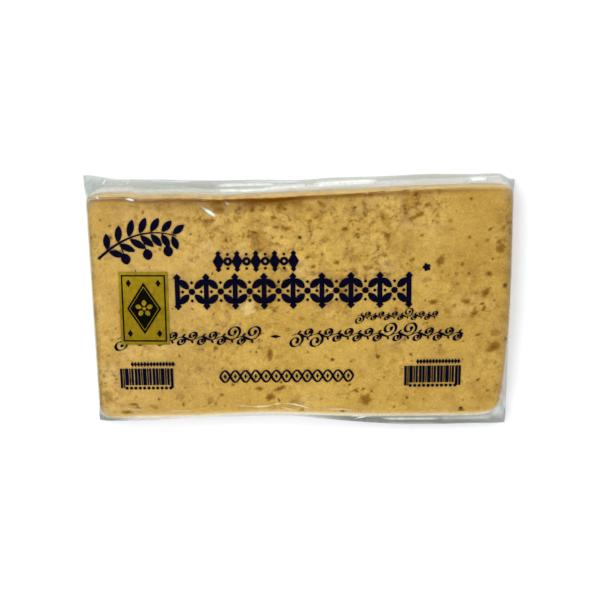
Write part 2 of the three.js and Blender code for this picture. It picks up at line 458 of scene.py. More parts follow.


# %% [markdown]
# ## What lies in the nougat
#
# Soft nougat is ground almond and honey pressed together. Larger bits of toasted almond show
# as soft-edged brown patches, a few as pale chips. The ones that stand out most are listed one
# by one, as centre, length, width, turn in degrees and how toasted they are; the rest are strewn
# evenly by a seeded draw.

# %% What lies in the nougat
SEEN_ALMONDS = [
    (-18.9, -38.5, 4.2, 1.8, 0, 0.9), (-9.4, -38.4, 5.6, 1.9, 20, 0.9), (-14.1, -42.6, 3.8, 3.2, 0, 1.0),
    (-41.5, -44.1, 3.0, 2.8, 10, 0.5), (-88.0, -41.7, 3.8, 4.8, 10, 0.5), (-54.7, -42.0, 4.2, 3.6, 30, 0.4),
    (-76.6, -45.5, 4.8, 1.4, 0, 0.7), (-80.2, -49.2, 5.4, 1.9, 0, 0.75), (-67.4, -46.8, 3.6, 1.9, -20, 0.6),
    (-64.9, -43.1, 1.7, 1.4, 0, 0.8), (62.3, 20.4, 5.0, 3.0, 62, 1.0), (56.5, 11.7, 3.6, 1.8, 20, 0.6),
    (59.4, 1.7, 3.6, 2.3, 10, 1.0), (74.0, 1.5, 3.0, 1.8, 0, 0.9), (82.9, 5.8, 4.2, 2.6, 50, 1.0),
    (83.9, 14.3, 2.6, 2.8, 0, 0.8), (91.2, 8.8, 2.2, 1.8, 0, 1.0), (65.7, -2.6, 3.0, 2.3, 0, 0.6),
    (78.1, -3.6, 3.8, 2.6, 40, 0.7), (87.3, -13.0, 3.9, 2.8, 0, 0.6), (79.8, -13.8, 2.6, 1.3, 20, 0.9),
    (52.4, 40.8, 5.2, 1.9, 26, 1.0), (37.8, 39.2, 3.4, 6.0, 20, 0.5), (38.9, 31.9, 2.8, 2.3, 30, 0.9),
    (56.1, 45.2, 2.4, 1.8, 20, 0.8), (88.7, 25.4, 3.6, 4.0, 0, 1.0), (87.6, 28.5, 1.7, 1.8, 0, 0.7),
    (16.8, 20.1, 2.8, 2.1, -35, 0.9), (-34.9, 44.0, 4.2, 2.8, 0, 0.8), (-39.9, 38.1, 3.7, 3.0, 0, 0.6),
    (-27.2, 40.0, 2.8, 2.0, -50, 0.6), (-8.3, 44.6, 3.4, 4.4, 0, 0.7), (-20.1, 43.6, 2.4, 2.2, 0, 0.7),
    (-19.0, 33.7, 2.8, 1.0, -15, 0.9), (-32.0, 30.5, 1.5, 2.3, 0, 0.8), (-5.4, 35.3, 3.9, 1.8, 10, 0.7),
    (4.0, 22.5, 2.6, 1.3, 10, 0.8), (-82.8, 32.3, 1.9, 2.2, 0, 0.9), (-55.0, 33.6, 2.8, 2.4, 40, 0.8),
    (-10.8, 9.6, 4.0, 1.8, 15, 0.8), (-13.8, -22.0, 2.4, 6.0, 0, 1.0), (-22.8, -10.6, 1.8, 1.8, 0, 0.6),
    (14.5, -24.9, 1.9, 1.1, 0, 1.0), (35.2, -23.7, 1.4, 1.8, 0, 1.0), (29.6, -44.1, 5.6, 4.6, 20, 1.0),
    (23.8, -25.5, 2.6, 2.0, 20, 0.5), (87.1, -19.5, 5.6, 3.6, 30, 1.0), (80.4, -35.1, 2.2, 1.4, 30, 0.8),
    (73.1, -49.5, 3.1, 1.0, 0, 1.0), (63.9, -21.7, 4.8, 3.7, 0, 0.5), (68.3, -0.3, 2.2, 2.2, 0, 0.4),
    (7.0, 11.1, 4.8, 2.4, 12, 1.0), (6.2, 18.2, 2.8, 1.8, 20, 0.8), (0.9, -5.5, 2.6, 1.7, 0, 0.6),
    (-38.2, -18.9, 2.6, 2.2, 0, 0.7), (-52.3, -11.5, 3.8, 3.4, 0, 0.4), (-9.2, -23.3, 3.4, 2.4, 10, 0.5),
    (-5.6, -10.7, 2.2, 1.7, 0, 0.6), (-30.8, -36.5, 1.6, 1.6, 0, 0.8), (48.4, -43.5, 1.7, 1.4, 0, 0.8),
    (66.5, 38.0, 1.8, 1.6, 0, 0.6), (54.0, 31.7, 1.8, 1.4, 0, 0.8), (74.9, 47.7, 1.7, 1.4, 0, 0.8),
    (70.8, 23.3, 4.4, 3.0, 0, 0.3), (67.2, 34.5, 2.8, 1.4, 10, 0.4), (85.3, 21.0, 1.4, 1.4, 0, 0.8),
    (74.9, 30.6, 1.4, 1.4, 0, 0.8), (9.8, 46.2, 2.8, 1.5, -35, 0.8), (20.3, 34.8, 2.8, 1.5, 0, 0.8),
    (30.4, 17.4, 2.2, 2.2, 0, 0.6), (31.5, 50.1, 1.8, 1.3, 0, 0.9), (-10.6, 40.2, 2.2, 1.3, 0, 0.7),
    (-37.5, 39.4, 2.2, 1.4, 0, 0.8), (-36.0, -41.2, 2.2, 1.6, 30, 0.7), (-89.4, -31.6, 1.5, 1.8, 0, 0.7),
    (-74.7, -47.2, 3.2, 1.0, 0, 0.7), (0.0, -49.3, 3.0, 1.2, 0, 0.5), (19.2, -49.5, 3.0, 0.9, 0, 0.9),
    (92.3, -15.8, 1.7, 2.8, 0, 0.8), (89.5, 34.7, 1.4, 2.2, 0, 0.6), (81.3, -48.6, 2.4, 1.0, 0, 0.5),
]
PALE_CHIPS = [(-23.2, -0.3, 5.2, 5.8, 20, 0.0)]
STREWN_ALMONDS = 110
STREWN_LONG = (0.9, 2.6)
ALMOND_REACH = 6
CHIP_TONE = -0.5

draw = np.random.default_rng(42)
strewn = np.stack([
    draw.uniform(-88, 88, STREWN_ALMONDS), draw.uniform(-48, 48, STREWN_ALMONDS),
    draw.uniform(*STREWN_LONG, STREWN_ALMONDS) * draw.uniform(0.6, 1, STREWN_ALMONDS),
    draw.uniform(0.7, 1.5, STREWN_ALMONDS), draw.uniform(0, 180, STREWN_ALMONDS),
    draw.uniform(0.6, 0.9, STREWN_ALMONDS),
], 1)
almonds = np.concatenate([np.array(SEEN_ALMONDS), np.array(PALE_CHIPS), strewn])
print(len(almonds), "almond pieces,", len(SEEN_ALMONDS), "of them placed by hand")


def in_piece_frame(x, y, piece):
    """A point in the frame of one almond piece, in half lengths and half widths."""
    angle = np.radians(piece[4])
    dx, dy = x - piece[0], y - piece[1]
    along = (dx * np.cos(angle) + dy * np.sin(angle)) / (piece[2] / 2)
    across = (dy * np.cos(angle) - dx * np.sin(angle)) / (piece[3] / 2)
    return along, across


def painted_almonds(x, y):
    """Where almond shows through the nougat, from -1 for pale to 1 for toasted: for each
    piece, one inside a ragged ellipse and falling to zero over its soft edge."""
    ragged = 0.35 * lattice(x, y, 1.1, 5) + 0.2 * lattice(x, y, 0.5, 6)
    painted = np.zeros(np.shape(x))
    for piece in almonds:
        near = np.nonzero((abs(x - piece[0]) < ALMOND_REACH) & (abs(y - piece[1]) < ALMOND_REACH))
        along, across = in_piece_frame(x[near], y[near], piece)
        inside = ease(-np.hypot(along, across) + ragged[near], -1.35, -0.75)
        tone = inside * (piece[5] if piece[5] > 0 else CHIP_TONE)
        painted[near] = np.where(abs(tone) > abs(painted[near]), tone, painted[near])
    return painted


# %% [markdown]
# ## Crumb, cracks and pits
#
# The face has three finer scales. Flakes several millimetres across lie at slightly different
# heights, with hairline cracks round some of them; small pits are left where air was trapped;
# and the ground almond makes a grain of about a millimetre. Each is a depth in millimetres, and
# the sum lowers the face. Cracks and pits are also painted darker as painted shade, and a few
# listed dark specks darker still. A bump map alone would do from afar, but real depth keeps its
# look from every side.

# %% Crumb, cracks and pits
SEEN_CRACKS = [
    (22.3, 38.4, 28.2, 37.2, 0.7, 0.4, 1.0), (19.5, 34.1, 14.6, 27.5, 0.2, 0.3, 0.8),
    (37.0, 28.6, 31.7, 23.0, 0.4, 0.4, 0.9), (29.9, 39.3, 31.2, 44.5, 0.3, 0.3, 0.7),
    (-21.6, 28.7, -14.2, 28.6, 3.6, 0.35, 0.8), (-14.2, 28.4, -21.4, 28.4, 3.2, 0.35, 0.8),
    (-19.5, -1.2, -8.4, -0.6, 0.4, 0.4, 0.9), (-26.2, 2.2, -21.0, 5.6, 0.5, 0.35, 0.8),
    (20.6, -41.8, 27.2, -38.6, 0.3, 0.35, 0.8), (68.0, -7.0, 71.0, -15.0, 0.5, 0.3, 0.6),
    (-52.0, -38.5, -49.0, -44.0, 0.4, 0.3, 0.6), (33.5, -14.0, 34.5, -25.0, 0.3, 0.3, 0.6),
    (28.0, 37.2, 30.4, 39.4, -0.4, 0.35, 0.9), (7.5, 36.2, 11.0, 35.0, 0.0, 0.4, 1.0),
    (16.5, -41.7, 22.9, -41.8, 0.3, 0.35, 0.9), (19.0, -36.9, 22.2, -38.6, 0.1, 0.35, 0.8),
    (-35.9, -39.8, -39.3, -44.6, 0.4, 0.3, 0.7), (-22.5, 34.8, -18.6, 33.5, 0.0, 0.45, 1.0),
    (8.0, 30.5, 3.0, 27.0, 0.4, 0.3, 0.6), (44.0, 36.0, 41.0, 31.5, 0.3, 0.3, 0.7),
]
SEEN_SPECKS = [
    (0.5, 31.4, 0.75), (35.2, -23.7, 0.6), (14.5, -24.9, 0.7), (20.5, 34.9, 0.6), (51.1, 49.4, 0.42),
    (91.2, 8.9, 0.7), (73.0, -48.6, 0.8), (-64.7, 34.5, 0.5), (-47.4, 33.3, 0.45), (22.3, -36.9, 0.5),
]
FLAKE_SIZE = 7.5
FLAKE_STEP = 0.26
PIT_SPACING = 2.9
PIT_CHANCE = 0.8


def seen_specks(x, y):
    """One inside each listed dark speck, with a soft rim."""
    mark = np.zeros(np.shape(x))
    for speck_x, speck_y, radius in SEEN_SPECKS:
        mark = np.maximum(mark, ease(radius - np.hypot(x - speck_x, y - speck_y), -0.25, 0.2))
    return mark


def crumb(x, y):
    """Depth of the fine relief in millimetres, how much painted shade darkens it in its cracks and
    pits, with the dark specks at full strength, how pale the flake there is, and how rough the
    patch round it is."""
    wander_x = 1.6 * lattice(x, y, 5, 1) + 0.5 * lattice(x, y, 1.3, 2)
    wander_y = 1.6 * lattice(x, y, 5, 4) + 0.5 * lattice(x, y, 1.3, 7)
    _, gap, chance = cells(x + wander_x, y + wander_y, FLAKE_SIZE, 11)
    flaky = 0.8 * lattice(x, y, 15, 8) + bump(np.hypot(x - 5, 1.3 * (y - 28)), 0, 42)
    broken = ease(flaky, 0.0, 0.8)
    flakes = broken * FLAKE_STEP * chance * ease(gap, 0.1, 0.9)
    hairline = broken * bump(gap, 0, 0.4) * ease(lattice(x, y, 3.5, 31), 0.05, 0.45)
    cracks = np.maximum(0.8 * hairline, arc_marks(x, y + 0.25 * lattice(x, y, 1.4, 3), SEEN_CRACKS))
    near, _, luck = cells(x + 0.6 * wander_x, y + 0.6 * wander_y, PIT_SPACING, 21)
    pit_radius = 0.2 + 0.6 * ease(luck, PIT_CHANCE, 1.0)
    rough = ease(lattice(x, y, 14, 9), -0.2, 0.6)
    pits = ease(pit_radius - near, -0.1, 0.3) * (luck > PIT_CHANCE) * (0.35 + 0.65 * rough)
    grain = lattice(x, y, 1.2, 12) + 0.6 * lattice(x, y, 0.7, 13)
    lumps = lattice(x, y, 3.2, 10)
    specks = seen_specks(x, y)
    depth = 0.3 * cracks + 0.35 * pits + 0.2 * specks - flakes + FLAKE_STEP
    depth = depth + (0.03 + 0.07 * rough) * (1.2 + grain) + 0.07 * (1 + lumps)
    # Painted shade in the cracks, pits and rough grain, and the dark specks.
    hollow_shade_and_specks = np.clip(0.45 * cracks + 0.5 * pits + specks + 0.1 * rough * ease(grain, 0.3, 1.0), 0, 1)
    return depth, hollow_shade_and_specks, broken * chance * ease(gap, 0.1, 0.7), np.maximum(broken, 0.5 * rough)


# %% [markdown]
# ## The nougat bar
#
# The bar's mesh is a face of half-millimetre squares, loops that go over its edge and run down
# the crumbly side, and a coarser underside. The back side slumps outwards a little, so it shows
# from above as a band, and the sides are painted paler as painted light. All of it stays a few
# tenths of a millimetre inside the film.

# %% The nougat bar
FILM_GAP = 0.25
BAR_TOP = FACE_Z - 0.06
BAR_BOTTOM = 0.2
BAR_CELLS = (328, 176)
EDGE_RADIUS = 1.0
EDGE_DROP = 0.15
BASE_RADIUS = 1.4
UNDERSIDE_SHARE = 0.985
HALVED_SHARE = 0.992
BACK_SLUMP = 0.8
LEFT_SLUMP = 0.8
MOST_SLUMP = 2.6
FLAKE_PALENESS = 0.16
# Painted light: how much paler the sides are painted.
WALL_LIGHT = 0.30
# Painted highlight: how strongly the nougat is painted cream along its front edge.
FRONT_HIGHLIGHT = 1.0

bar_half = BAR_HALF - FILM_GAP
bar_cell = 2 * (bar_half[0] - bar_half[1]) / (BAR_CELLS[0] - BAR_CELLS[1])
bar_rim = bar_half[0] - bar_cell * BAR_CELLS[0] / 2
print("nougat grid step", round(bar_cell, 3), "mm, rim", round(bar_rim, 2), "mm")


def slab_grid(cell_counts, cell):
    """Points of a flat grid of squares round the origin, as two arrays."""
    columns = (np.arange(cell_counts[0] + 1) - cell_counts[0] / 2) * cell
    rows = (np.arange(cell_counts[1] + 1) - cell_counts[1] / 2) * cell
    return np.meshgrid(columns, rows, indexing="ij")


def outline_loop(x, y, half_size, rim, out):
    """Border points of a grid, moved to the rounded outline and past it by out: the core
    point plus the bent step, scaled so that its length is the corner radius plus out."""
    core, _, bent = split_corners(x, y, half_size)
    scale = (CORNER_RADIUS + out) / (CORNER_RADIUS - rim)
    return core[0] + bent[0] * scale, core[1] + bent[1] * scale


def rounded_grid(x, y, half_size):
    """Inner grid points with the corner patches bent to the same round shape."""
    core, _, bent = split_corners(x, y, half_size)
    return core[0] + bent[0], core[1] + bent[1]


def edge_arc(radius, start, end, steps):
    """Out and drop of points on a rounded edge, from one angle in degrees to another."""
    angle = np.radians(np.linspace(start, end, steps))
    return radius * (np.cos(angle) - 1), radius * (np.sin(angle) - 1)


def close_slab(cell_counts, face, rings, underside):
    """Points and faces of a closed slab: the face's grid, the rings down its side, rings with
    half as many points until they match the underside's border, and the underside."""
    ids = np.arange(face[..., 0].size).reshape(face.shape[:2])
    points, faces = [face.reshape(-1, 3)], [grid_quads(ids)]
    upper, count = ids[border_walk(*cell_counts)], ids.size
    for ring in rings:
        lower = count + np.arange(len(ring))
        points.append(ring)
        faces.append(loop_quads(upper, lower))
        upper, count = lower, count + len(ring)
    base, coarse = rings[-1], (underside.shape[0] - 1, underside.shape[1] - 1)
    while len(base) > 2 * sum(coarse):
        base = base[::2] * (HALVED_SHARE, HALVED_SHARE, 1)
        lower = count + np.arange(len(base))
        points.append(base)
        faces.append(halving_triangles(upper, lower))
        upper, count = lower, count + len(base)
    ids = count + np.arange(underside[..., 0].size).reshape(underside.shape[:2])
    ids[border_walk(*coarse)] = upper
    points.append(underside.reshape(-1, 3))
    faces.append(grid_quads(ids)[:, ::-1])
    return np.concatenate(points), faces


def drop_loose_points(points, faces, *painted):
    """Points that no face uses are dropped, and the faces renumbered."""
    used = np.zeros(len(points), bool)
    for block in faces:
        used[block] = True
    number = np.cumsum(used) - 1
    return points[used], [number[block] for block in faces], *[values[used] for values in painted]


def nougat_face(x, y):
    """Height of the face at plan points, how much painted shade or a dark speck darkens it, its
    almond tone and how rough the patch is."""
    edge_drop = EDGE_DROP * (1 - ease(rim_distance(x, y), 0.5, 4.5)) ** 2
    x, y = skewed(x, y)
    depth, hollow_shade_and_specks, pale, rough_patches = crumb(x, y)
    almond_tone_and_light = painted_almonds(x, y)
    almond_tone_and_light = np.where(abs(almond_tone_and_light) > 0.05, almond_tone_and_light, -FLAKE_PALENESS * pale)
    return BAR_TOP - swell(x, y) - depth - edge_drop, hollow_shade_and_specks, almond_tone_and_light, rough_patches


def nougat_mesh():
    """The bar's points, faces and painted numbers. Its side loops are pushed in and out by
    lattice noise, which is what a knife leaves in crumbly nougat."""
    x, y = slab_grid(BAR_CELLS, bar_cell)
    face_x, face_y = rounded_grid(x, y, bar_half)
    face_z, hollow_shade_and_specks, almond_tone_and_light, rough_patches = nougat_face(face_x, face_y)
    walk = border_walk(*BAR_CELLS)
    border = x[walk], y[walk], bar_half, bar_rim
    # Painted highlight: cream along the front edge, where the film's rounded rim catches the light.
    front_highlight = FRONT_HIGHLIGHT * (0.2 + 0.8 * ease(x[walk], -90, -66) - 0.3 * ease(x[walk], 20, 40))
    rings, hollows, tones, rough_patch_values = [], [hollow_shade_and_specks.ravel()], [almond_tone_and_light.ravel()], [rough_patches.ravel()]
    for out in np.linspace(-bar_rim, -EDGE_RADIUS, 6)[1:]:
        loop_x, loop_y = outline_loop(*border, out)
        loop_z, hollow_shade_and_specks, almond_tone_and_light, rough_patches = nougat_face(loop_x, loop_y)
        rings.append(shifted(loop_x, loop_y, loop_z))
        hollows.append(hollow_shade_and_specks)
        tones.append(almond_tone_and_light - front_highlight * (loop_y < 0) * bump(loop_y, -bar_half[1], 1.6))
        rough_patch_values.append(rough_patches)
    at_back = ease(y[walk], 44, 48) * (1 - ease(x[walk], 84, 91))
    back_skew = skew(x[walk], BAR_HALF[1])[1]
    more_left = LEFT_SLUMP * ease(-x[walk], 15, 50) - (BACK_SLUMP + LEFT_SLUMP) * ease(-x[walk], 80, 91)
    floor_drop = BAR_BOTTOM - BAR_TOP
    top_out, top_drop = edge_arc(EDGE_RADIUS, 65, 0, 4)
    low_out, low_drop = edge_arc(BASE_RADIUS, 0, -90, 4)
    low_drop = low_drop + 2 * BASE_RADIUS + floor_drop
    wall_drop = np.linspace(-EDGE_RADIUS, floor_drop + BASE_RADIUS, 9)[1:-1]
    outs = np.concatenate([top_out, 0 * wall_drop, low_out])
    drops = np.concatenate([top_drop, wall_drop, low_drop])
    edge_z = loop_z
    for out, drop in zip(outs, drops):
        z = BAR_TOP + drop + ease(drop, -5, 0) * (edge_z - BAR_TOP)
        rough = 0.2 * lattice(loop_x, loop_y, 2.6, 14, z) + 0.12 * lattice(loop_x, loop_y, 1.1, 15, z)
        slump = np.minimum(BACK_SLUMP - 0.5 * np.minimum(back_skew, 0) + more_left, MOST_SLUMP)
        slump = slump * at_back * np.clip((-drop - 0.8) / 8.5, 0, 1) * ease(z, 0.5, 5.5)
        pushed = outline_loop(*border, out + slump - ease(-drop, 0, 1.5) * (0.25 + rough))
        rings.append(shifted(*pushed, z))
        hollows.append(0 * z)
        at_front = ease(-loop_y, 44, 48)
        # Painted light: the sides are painted paler, as if lit through the film.
        wall_light = WALL_LIGHT * ease(-drop, 0.0, 4.0)
        tones.append(-wall_light - front_highlight * at_front * ease(drop, -3, 0) + 0 * z)
        rough_patch_values.append(rough_patches)
    coarse = (BAR_CELLS[0] // 4, BAR_CELLS[1] // 4)
    base_x, base_y = rounded_grid(*slab_grid(coarse, bar_cell * 4), bar_half)
    base_z = BAR_BOTTOM + 0.15 * (1 + lattice(base_x, base_y, 6, 16))
    underside = shifted(base_x * UNDERSIDE_SHARE, base_y * UNDERSIDE_SHARE, base_z)
    points, faces = close_slab(BAR_CELLS, shifted(face_x, face_y, face_z), rings, underside)
    rest = np.zeros(len(points) - sum(map(len, hollows)))
    return points, faces, *[np.concatenate([*painted, rest]) for painted in (hollows, tones, rough_patch_values)]


# %% [markdown]
# ## Nougat's finish
#
# Its colour is a warm tan, cloudy at the scale of a centimetre and grainy at a millimetre, with
# tiny brown bits of almond skin, and painted a little lighter towards the left as painted light.
# Cracks and pits get painted shade, and painted shade with some oil darkens the rim along the
# back. Craggy patches get a mottling of painted shade and highlight. Toasted pieces are brown and
# pale chips cream, and the sides and the front edge are painted cream as painted light. Numbers
# painted on the points place those, and noise breaks them up. It is dull, as the shine is the
# film's.

# %% Nougat material
TAN = (0.50, 0.303, 0.064)
TAN_PALE = (0.55, 0.345, 0.080)
TAN_DEEP = (0.44, 0.256, 0.049)
TAN_ROSY = (0.46, 0.262, 0.064)
TOASTED = (0.22, 0.097, 0.007)
CREAM = (0.80, 0.64, 0.33)
CHIP = (0.72, 0.50, 0.14)
# Dark brown of the painted shade in cracks and pits, and of the dark specks.
SHADE_AND_SPECK_BROWN = (0.045, 0.020, 0.004)
# Painted shade, with some oil, along the bar's back edge.
OIL_AND_SHADE = (0.125, 0.040, 0.001)


def nougat_material():
    """Tan nougat with clouds, grain and almond, with painted shade in its hollows and along the back edge,
    and painted light on the left, the sides and the front edge.
    """
    material, output = new_material("nougat_paste")
    clouds = ramp(material, noise(material, 60, 4, 0.55), (0.3, TAN_DEEP), (0.5, TAN), (0.7, TAN_PALE))
    rosy = ramp(material, noise(material, 110, 2, 0.5), (0.58, 0.0), (0.72, 0.5))
    colour = blend_colours(material, rosy, clouds, TAN_ROSY)
    # Painted light: the nougat is painted a little lighter and paler towards the left, as if lit from that
    # side.
    place = add_node(material, "TexCoord").outputs["Object"]
    along = add_node(material, "SeparateXYZ", Vector=place).outputs["X"]
    along = arithmetic(material, "MULTIPLY_ADD", along, 5.0, 0.5)
    painted_left_light = ramp(material, along, (0.0, (1.10, 1.13, 1.12)), (0.65, (1.07, 1.11, 1.06)),
                 (0.92, (1.0, 1.02, 1.0)))
    colour = blend_colours(material, 1.0, colour, painted_left_light, "MULTIPLY")
    grain = ramp(material, noise(material, 1100, 3, 0.6), (0.3, 0.84), (0.7, 1.14))
    colour = blend_colours(material, 1.0, colour, grain, "MULTIPLY")
    crumbs = ramp(material, noise(material, 420, 3, 0.6), (0.32, 0.92), (0.68, 1.07))
    colour = blend_colours(material, 1.0, colour, crumbs, "MULTIPLY")
    # Painted shade and highlight, with stains: craggy patches get random dark and light mottling for shade
    # in their hollows and light on their crumbs.
    crag_shade_and_highlight = noise(material, 290, 5, 0.7)
    crag_shade_and_highlight = ramp(material, crag_shade_and_highlight, (0.37, (0.52, 0.42, 0.28)), (0.45, (0.93, 0.91, 0.88)),
                    (0.62, (1.10, 1.12, 1.16)))
    stains = noise(material, 120, 3, 0.6)
    stains = ramp(material, stains, (0.36, (0.78, 0.71, 0.60)), (0.5, (1.03, 1.03, 1.03)))
    crag_shade_and_highlight = blend_colours(material, 1.0, crag_shade_and_highlight, stains, "MULTIPLY")
    colour = blend_colours(material, attribute(material, "rough_patches"), colour, crag_shade_and_highlight, "MULTIPLY")
    bits = add_node(material, "TexVoronoi", Vector=place, Scale=230)
    picked = add_node(material, "SeparateColor", Color=bits.outputs["Color"]).outputs[0]
    picked = ramp(material, picked, (0.6, 0.0), (0.8, 0.8))
    near = ramp(material, bits.outputs["Distance"], (0.04, 1.0), (0.2, 0.0))
    colour = blend_colours(material, arithmetic(material, "MULTIPLY", picked, near), colour, TOASTED)
    almond_tone_and_light = attribute(material, "almond_tone_and_light")
    speckle = arithmetic(material, "MULTIPLY_ADD", noise(material, 1500, 2, 0.6), 0.5, 0.6)
    brown = add_node(material, "Clamp", Value=arithmetic(material, "MULTIPLY", almond_tone_and_light, speckle)).outputs[0]
    colour = blend_colours(material, brown, colour, TOASTED)
    # Negative values paint cream: pale chips and flakes, and painted light on the sides and the front edge.
    pale = add_node(material, "Clamp", Value=arithmetic(material, "MULTIPLY", almond_tone_and_light, -1.0)).outputs[0]
    colour = blend_colours(material, pale, colour, CREAM)
    colour = blend_colours(material, attribute(material, "oiled_and_shaded"), colour, OIL_AND_SHADE)
    colour = blend_colours(material, attribute(material, "hollow_shade_and_specks"), colour, SHADE_AND_SPECK_BROWN)
    fine = noise(material, 2200, 3, 0.6)
    coarse = arithmetic(material, "MULTIPLY", noise(material, 500, 4, 0.6), attribute(material, "rough_patches"))
    height = arithmetic(material, "MULTIPLY_ADD", coarse, 3.0, fine)
    bumps = add_node(material, "Bump", Strength=0.6, Distance=0.0003, Height=height).outputs[0]
    shader = add_node(material, "BsdfPrincipled", Base_Color=colour, Roughness=0.6,
                      Specular_IOR_Level=0.0, Normal=bumps)
    material.node_tree.links.new(shader.outputs[0], output.inputs["Surface"])
    return material


def back_distance(points):
    """Distance of points from the bar's back edge, inwards: the half width plus the edge's
    skew, less the point's own Y."""
    return BAR_HALF[1] + skew(points[:, 0], points[:, 1])[1] - points[:, 1]


def oil_and_shade_band(points):
    """How dark the face is painted along its back edge, as painted shade with some oil: a line as
    long as the edge, a patchy band left of the middle and a blotch, each a hill over the distance
    from the edge."""
    x, y, z = points.T
    gap = back_distance(points)
    middle = bump(x, -28, 52)
    patchy = 0.7 + 0.4 * lattice(x, y, 7, 18)
    along = 0.60 + 0.36 * middle + 0.14 * bump(x, 26, 9) - 0.36 * ease(x, 60, 85)
    line = along * bump(gap, 1.1, 1.7)
    band = 0.95 * middle * patchy * bump(gap, 1.3, 4.3)
    blotch = 0.45 * bump(np.hypot((x + 11) / 9, gap / 5), 0, 1)
    return np.clip(np.maximum(line, band) + blotch, 0, 1) * ease(z, 12.6, 13.3)


points, faces, hollow_shade_and_specks, almond_tone_and_light, rough_patches = nougat_mesh()
names = ("hollow_shade_and_specks", "almond_tone_and_light", "rough_patches", "oiled_and_shaded")
points, faces, *painted = drop_loose_points(points, faces, hollow_shade_and_specks, almond_tone_and_light, rough_patches, oil_and_shade_band(points))
nougat = make_piece("nougat_bar", points, faces, nougat_material(), "nougat", dict(zip(names, painted)))
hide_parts("film_wrapped_block")

# %% [markdown]
# ## Almond pieces that stand proud
#
# The larger bits of almond are solid, so each gets its own low lump in the face: a flattened
# ball with a ragged outline, sunk so that only its crown shows. One mesh holds them all, made
# from a single ball's grid repeated over the list of pieces.

# %% Almond pieces
BALL_STEPS = (12, 7)
SUNK = 0.16
SMALLEST = 1.3
FAINTEST = 0.65
LUMP_SHARE = 0.33


def ball_grid():
    """A ball's directions, rings from pole to pole, with one point at each pole."""
    around, down = BALL_STEPS
    tilt = np.linspace(0, np.pi, down)[1:-1, None]
    turn = np.linspace(0, 2 * np.pi, around, endpoint=False)[None, :]
    ring = np.stack([np.sin(tilt) * np.cos(turn), np.sin(tilt) * np.sin(turn), np.cos(tilt) + 0 * turn], -1)
    return np.concatenate([[[0, 0, 1]], ring.reshape(-1, 3), [[0, 0, -1]]])


def ball_faces():
    """Quads between the rings and triangles at the two poles, facing out."""
    around, down = BALL_STEPS
    rings = 1 + np.arange(around * (down - 2)).reshape(down - 2, around)
    quads = [loop_quads(upper, lower) for upper, lower in zip(rings[:-1], rings[1:])]
    first, last = rings[0], rings[-1]
    top = np.stack([0 * first, first, np.roll(first, -1)], 1)
    tip = around * (down - 2) + 1
    bottom = np.stack([last, 0 * last + tip, np.roll(last, -1)], 1)
    return [np.concatenate(quads), np.concatenate([top, bottom])]


def almond_material():
    """Toasted almond: brown with paler grain, cream where the piece is untoasted."""
    material, output = new_material("toasted_almond")
    streaks = noise(material, 700, 3, 0.6)
    streaks = ramp(material, streaks, (0.3, (0.12, 0.045, 0.002)), (0.7, (0.30, 0.15, 0.015)))
    colour = blend_colours(material, attribute(material, "tone"), CHIP, streaks)
    fine = noise(material, 2000, 2)
    bumps = add_node(material, "Bump", Strength=0.3, Distance=0.0002, Height=fine).outputs[0]
    shader = add_node(material, "BsdfPrincipled", Base_Color=colour, Roughness=0.5,
                      Specular_IOR_Level=0.0, Normal=bumps)
    material.node_tree.links.new(shader.outputs[0], output.inputs["Surface"])
    return material


solid = (almonds[:, 5] == 0) | (almonds[:, 5] > FAINTEST)
lumps = almonds[solid & (almonds[:, 2] > SMALLEST)]
unit = ball_grid()
ragged = 1 + 0.28 * (np.random.default_rng(7).random((len(lumps), len(unit), 1)) - 0.5)
flat_top = np.sign(unit[:, 2]) * abs(unit[:, 2]) ** 0.45
thick = 0.35 * lumps[:, 3:4]
local = unit[None, :, :2] * ragged * lumps[:, None, 2:4] * LUMP_SHARE
angle = np.radians(lumps[:, 4:5])
x = lumps[:, 0:1] + local[..., 0] * np.cos(angle) - local[..., 1] * np.sin(angle)
y = lumps[:, 1:2] + local[..., 0] * np.sin(angle) + local[..., 1] * np.cos(angle)
level = BAR_TOP - swell(x, y) - SUNK
z = level - thick + thick * flat_top[None, :]
count = np.arange(len(lumps))[:, None, None] * len(unit)
chip_faces = [(block[None] + count).reshape(-1, block.shape[1]) for block in ball_faces()]
tone = np.repeat(np.sign(lumps[:, 5]), len(unit))
points = np.stack([x, y, z], -1).reshape(-1, 3)
make_piece("almond_pieces", points, chip_faces, almond_material(), "nougat", {"tone": tone})

# %% [markdown]
# ## Film: how far it reaches
#
# The bag is wider than the bar. Its two sheets meet in a flattened fin that stands out all
# round: wide and low at the back, tucked under at the front left, wide again at the front
# right, and drawn to small ears at the corners. The curves below follow the CAD solid's fin,
# and keep a little inside it at the back left corner.


# %% Film reach
def fin_reach(x, y):
    """How far the fin's tip stands out along X and Y at a border point of the rectangle."""
    back = (5.5 + 2.1 * ease(-x, 76, 92) - 0.9 * bump(x, -1, 12) - 0.85 * bump(x, -32, 28)
            + ease(x, 32, 58) - 0.4 * bump(x, 72, 12) - 2.6 * ease(x, 85, 90))
    front = 3.9 + 1.8 * ease(-x, 42, 68) + 4.0 * ease(x, -12, 46)
    left = 1.7 + 1.3 * ease(y, 30, 41) + 0.3 * ease(y, 44, 51) + 1.2 * ease(-y, 40, 50)
    right = 2.9 + 0.5 * ease(y, 43, 50)
    return np.where(x < 0, left, right), np.where(y < 0, front, back)


def fin_height(x, y):
    """Height of the fin's middle: half way up the sides, low at the back left corner."""
    back, front = ease(y, 15, BAR_HALF[1]), ease(-y, 15, BAR_HALF[1])
    return 6.5 - back * (2.4 + ease(-x, 40, BAR_HALF[0])) - 1.5 * front * ease(-x, -45, 10)


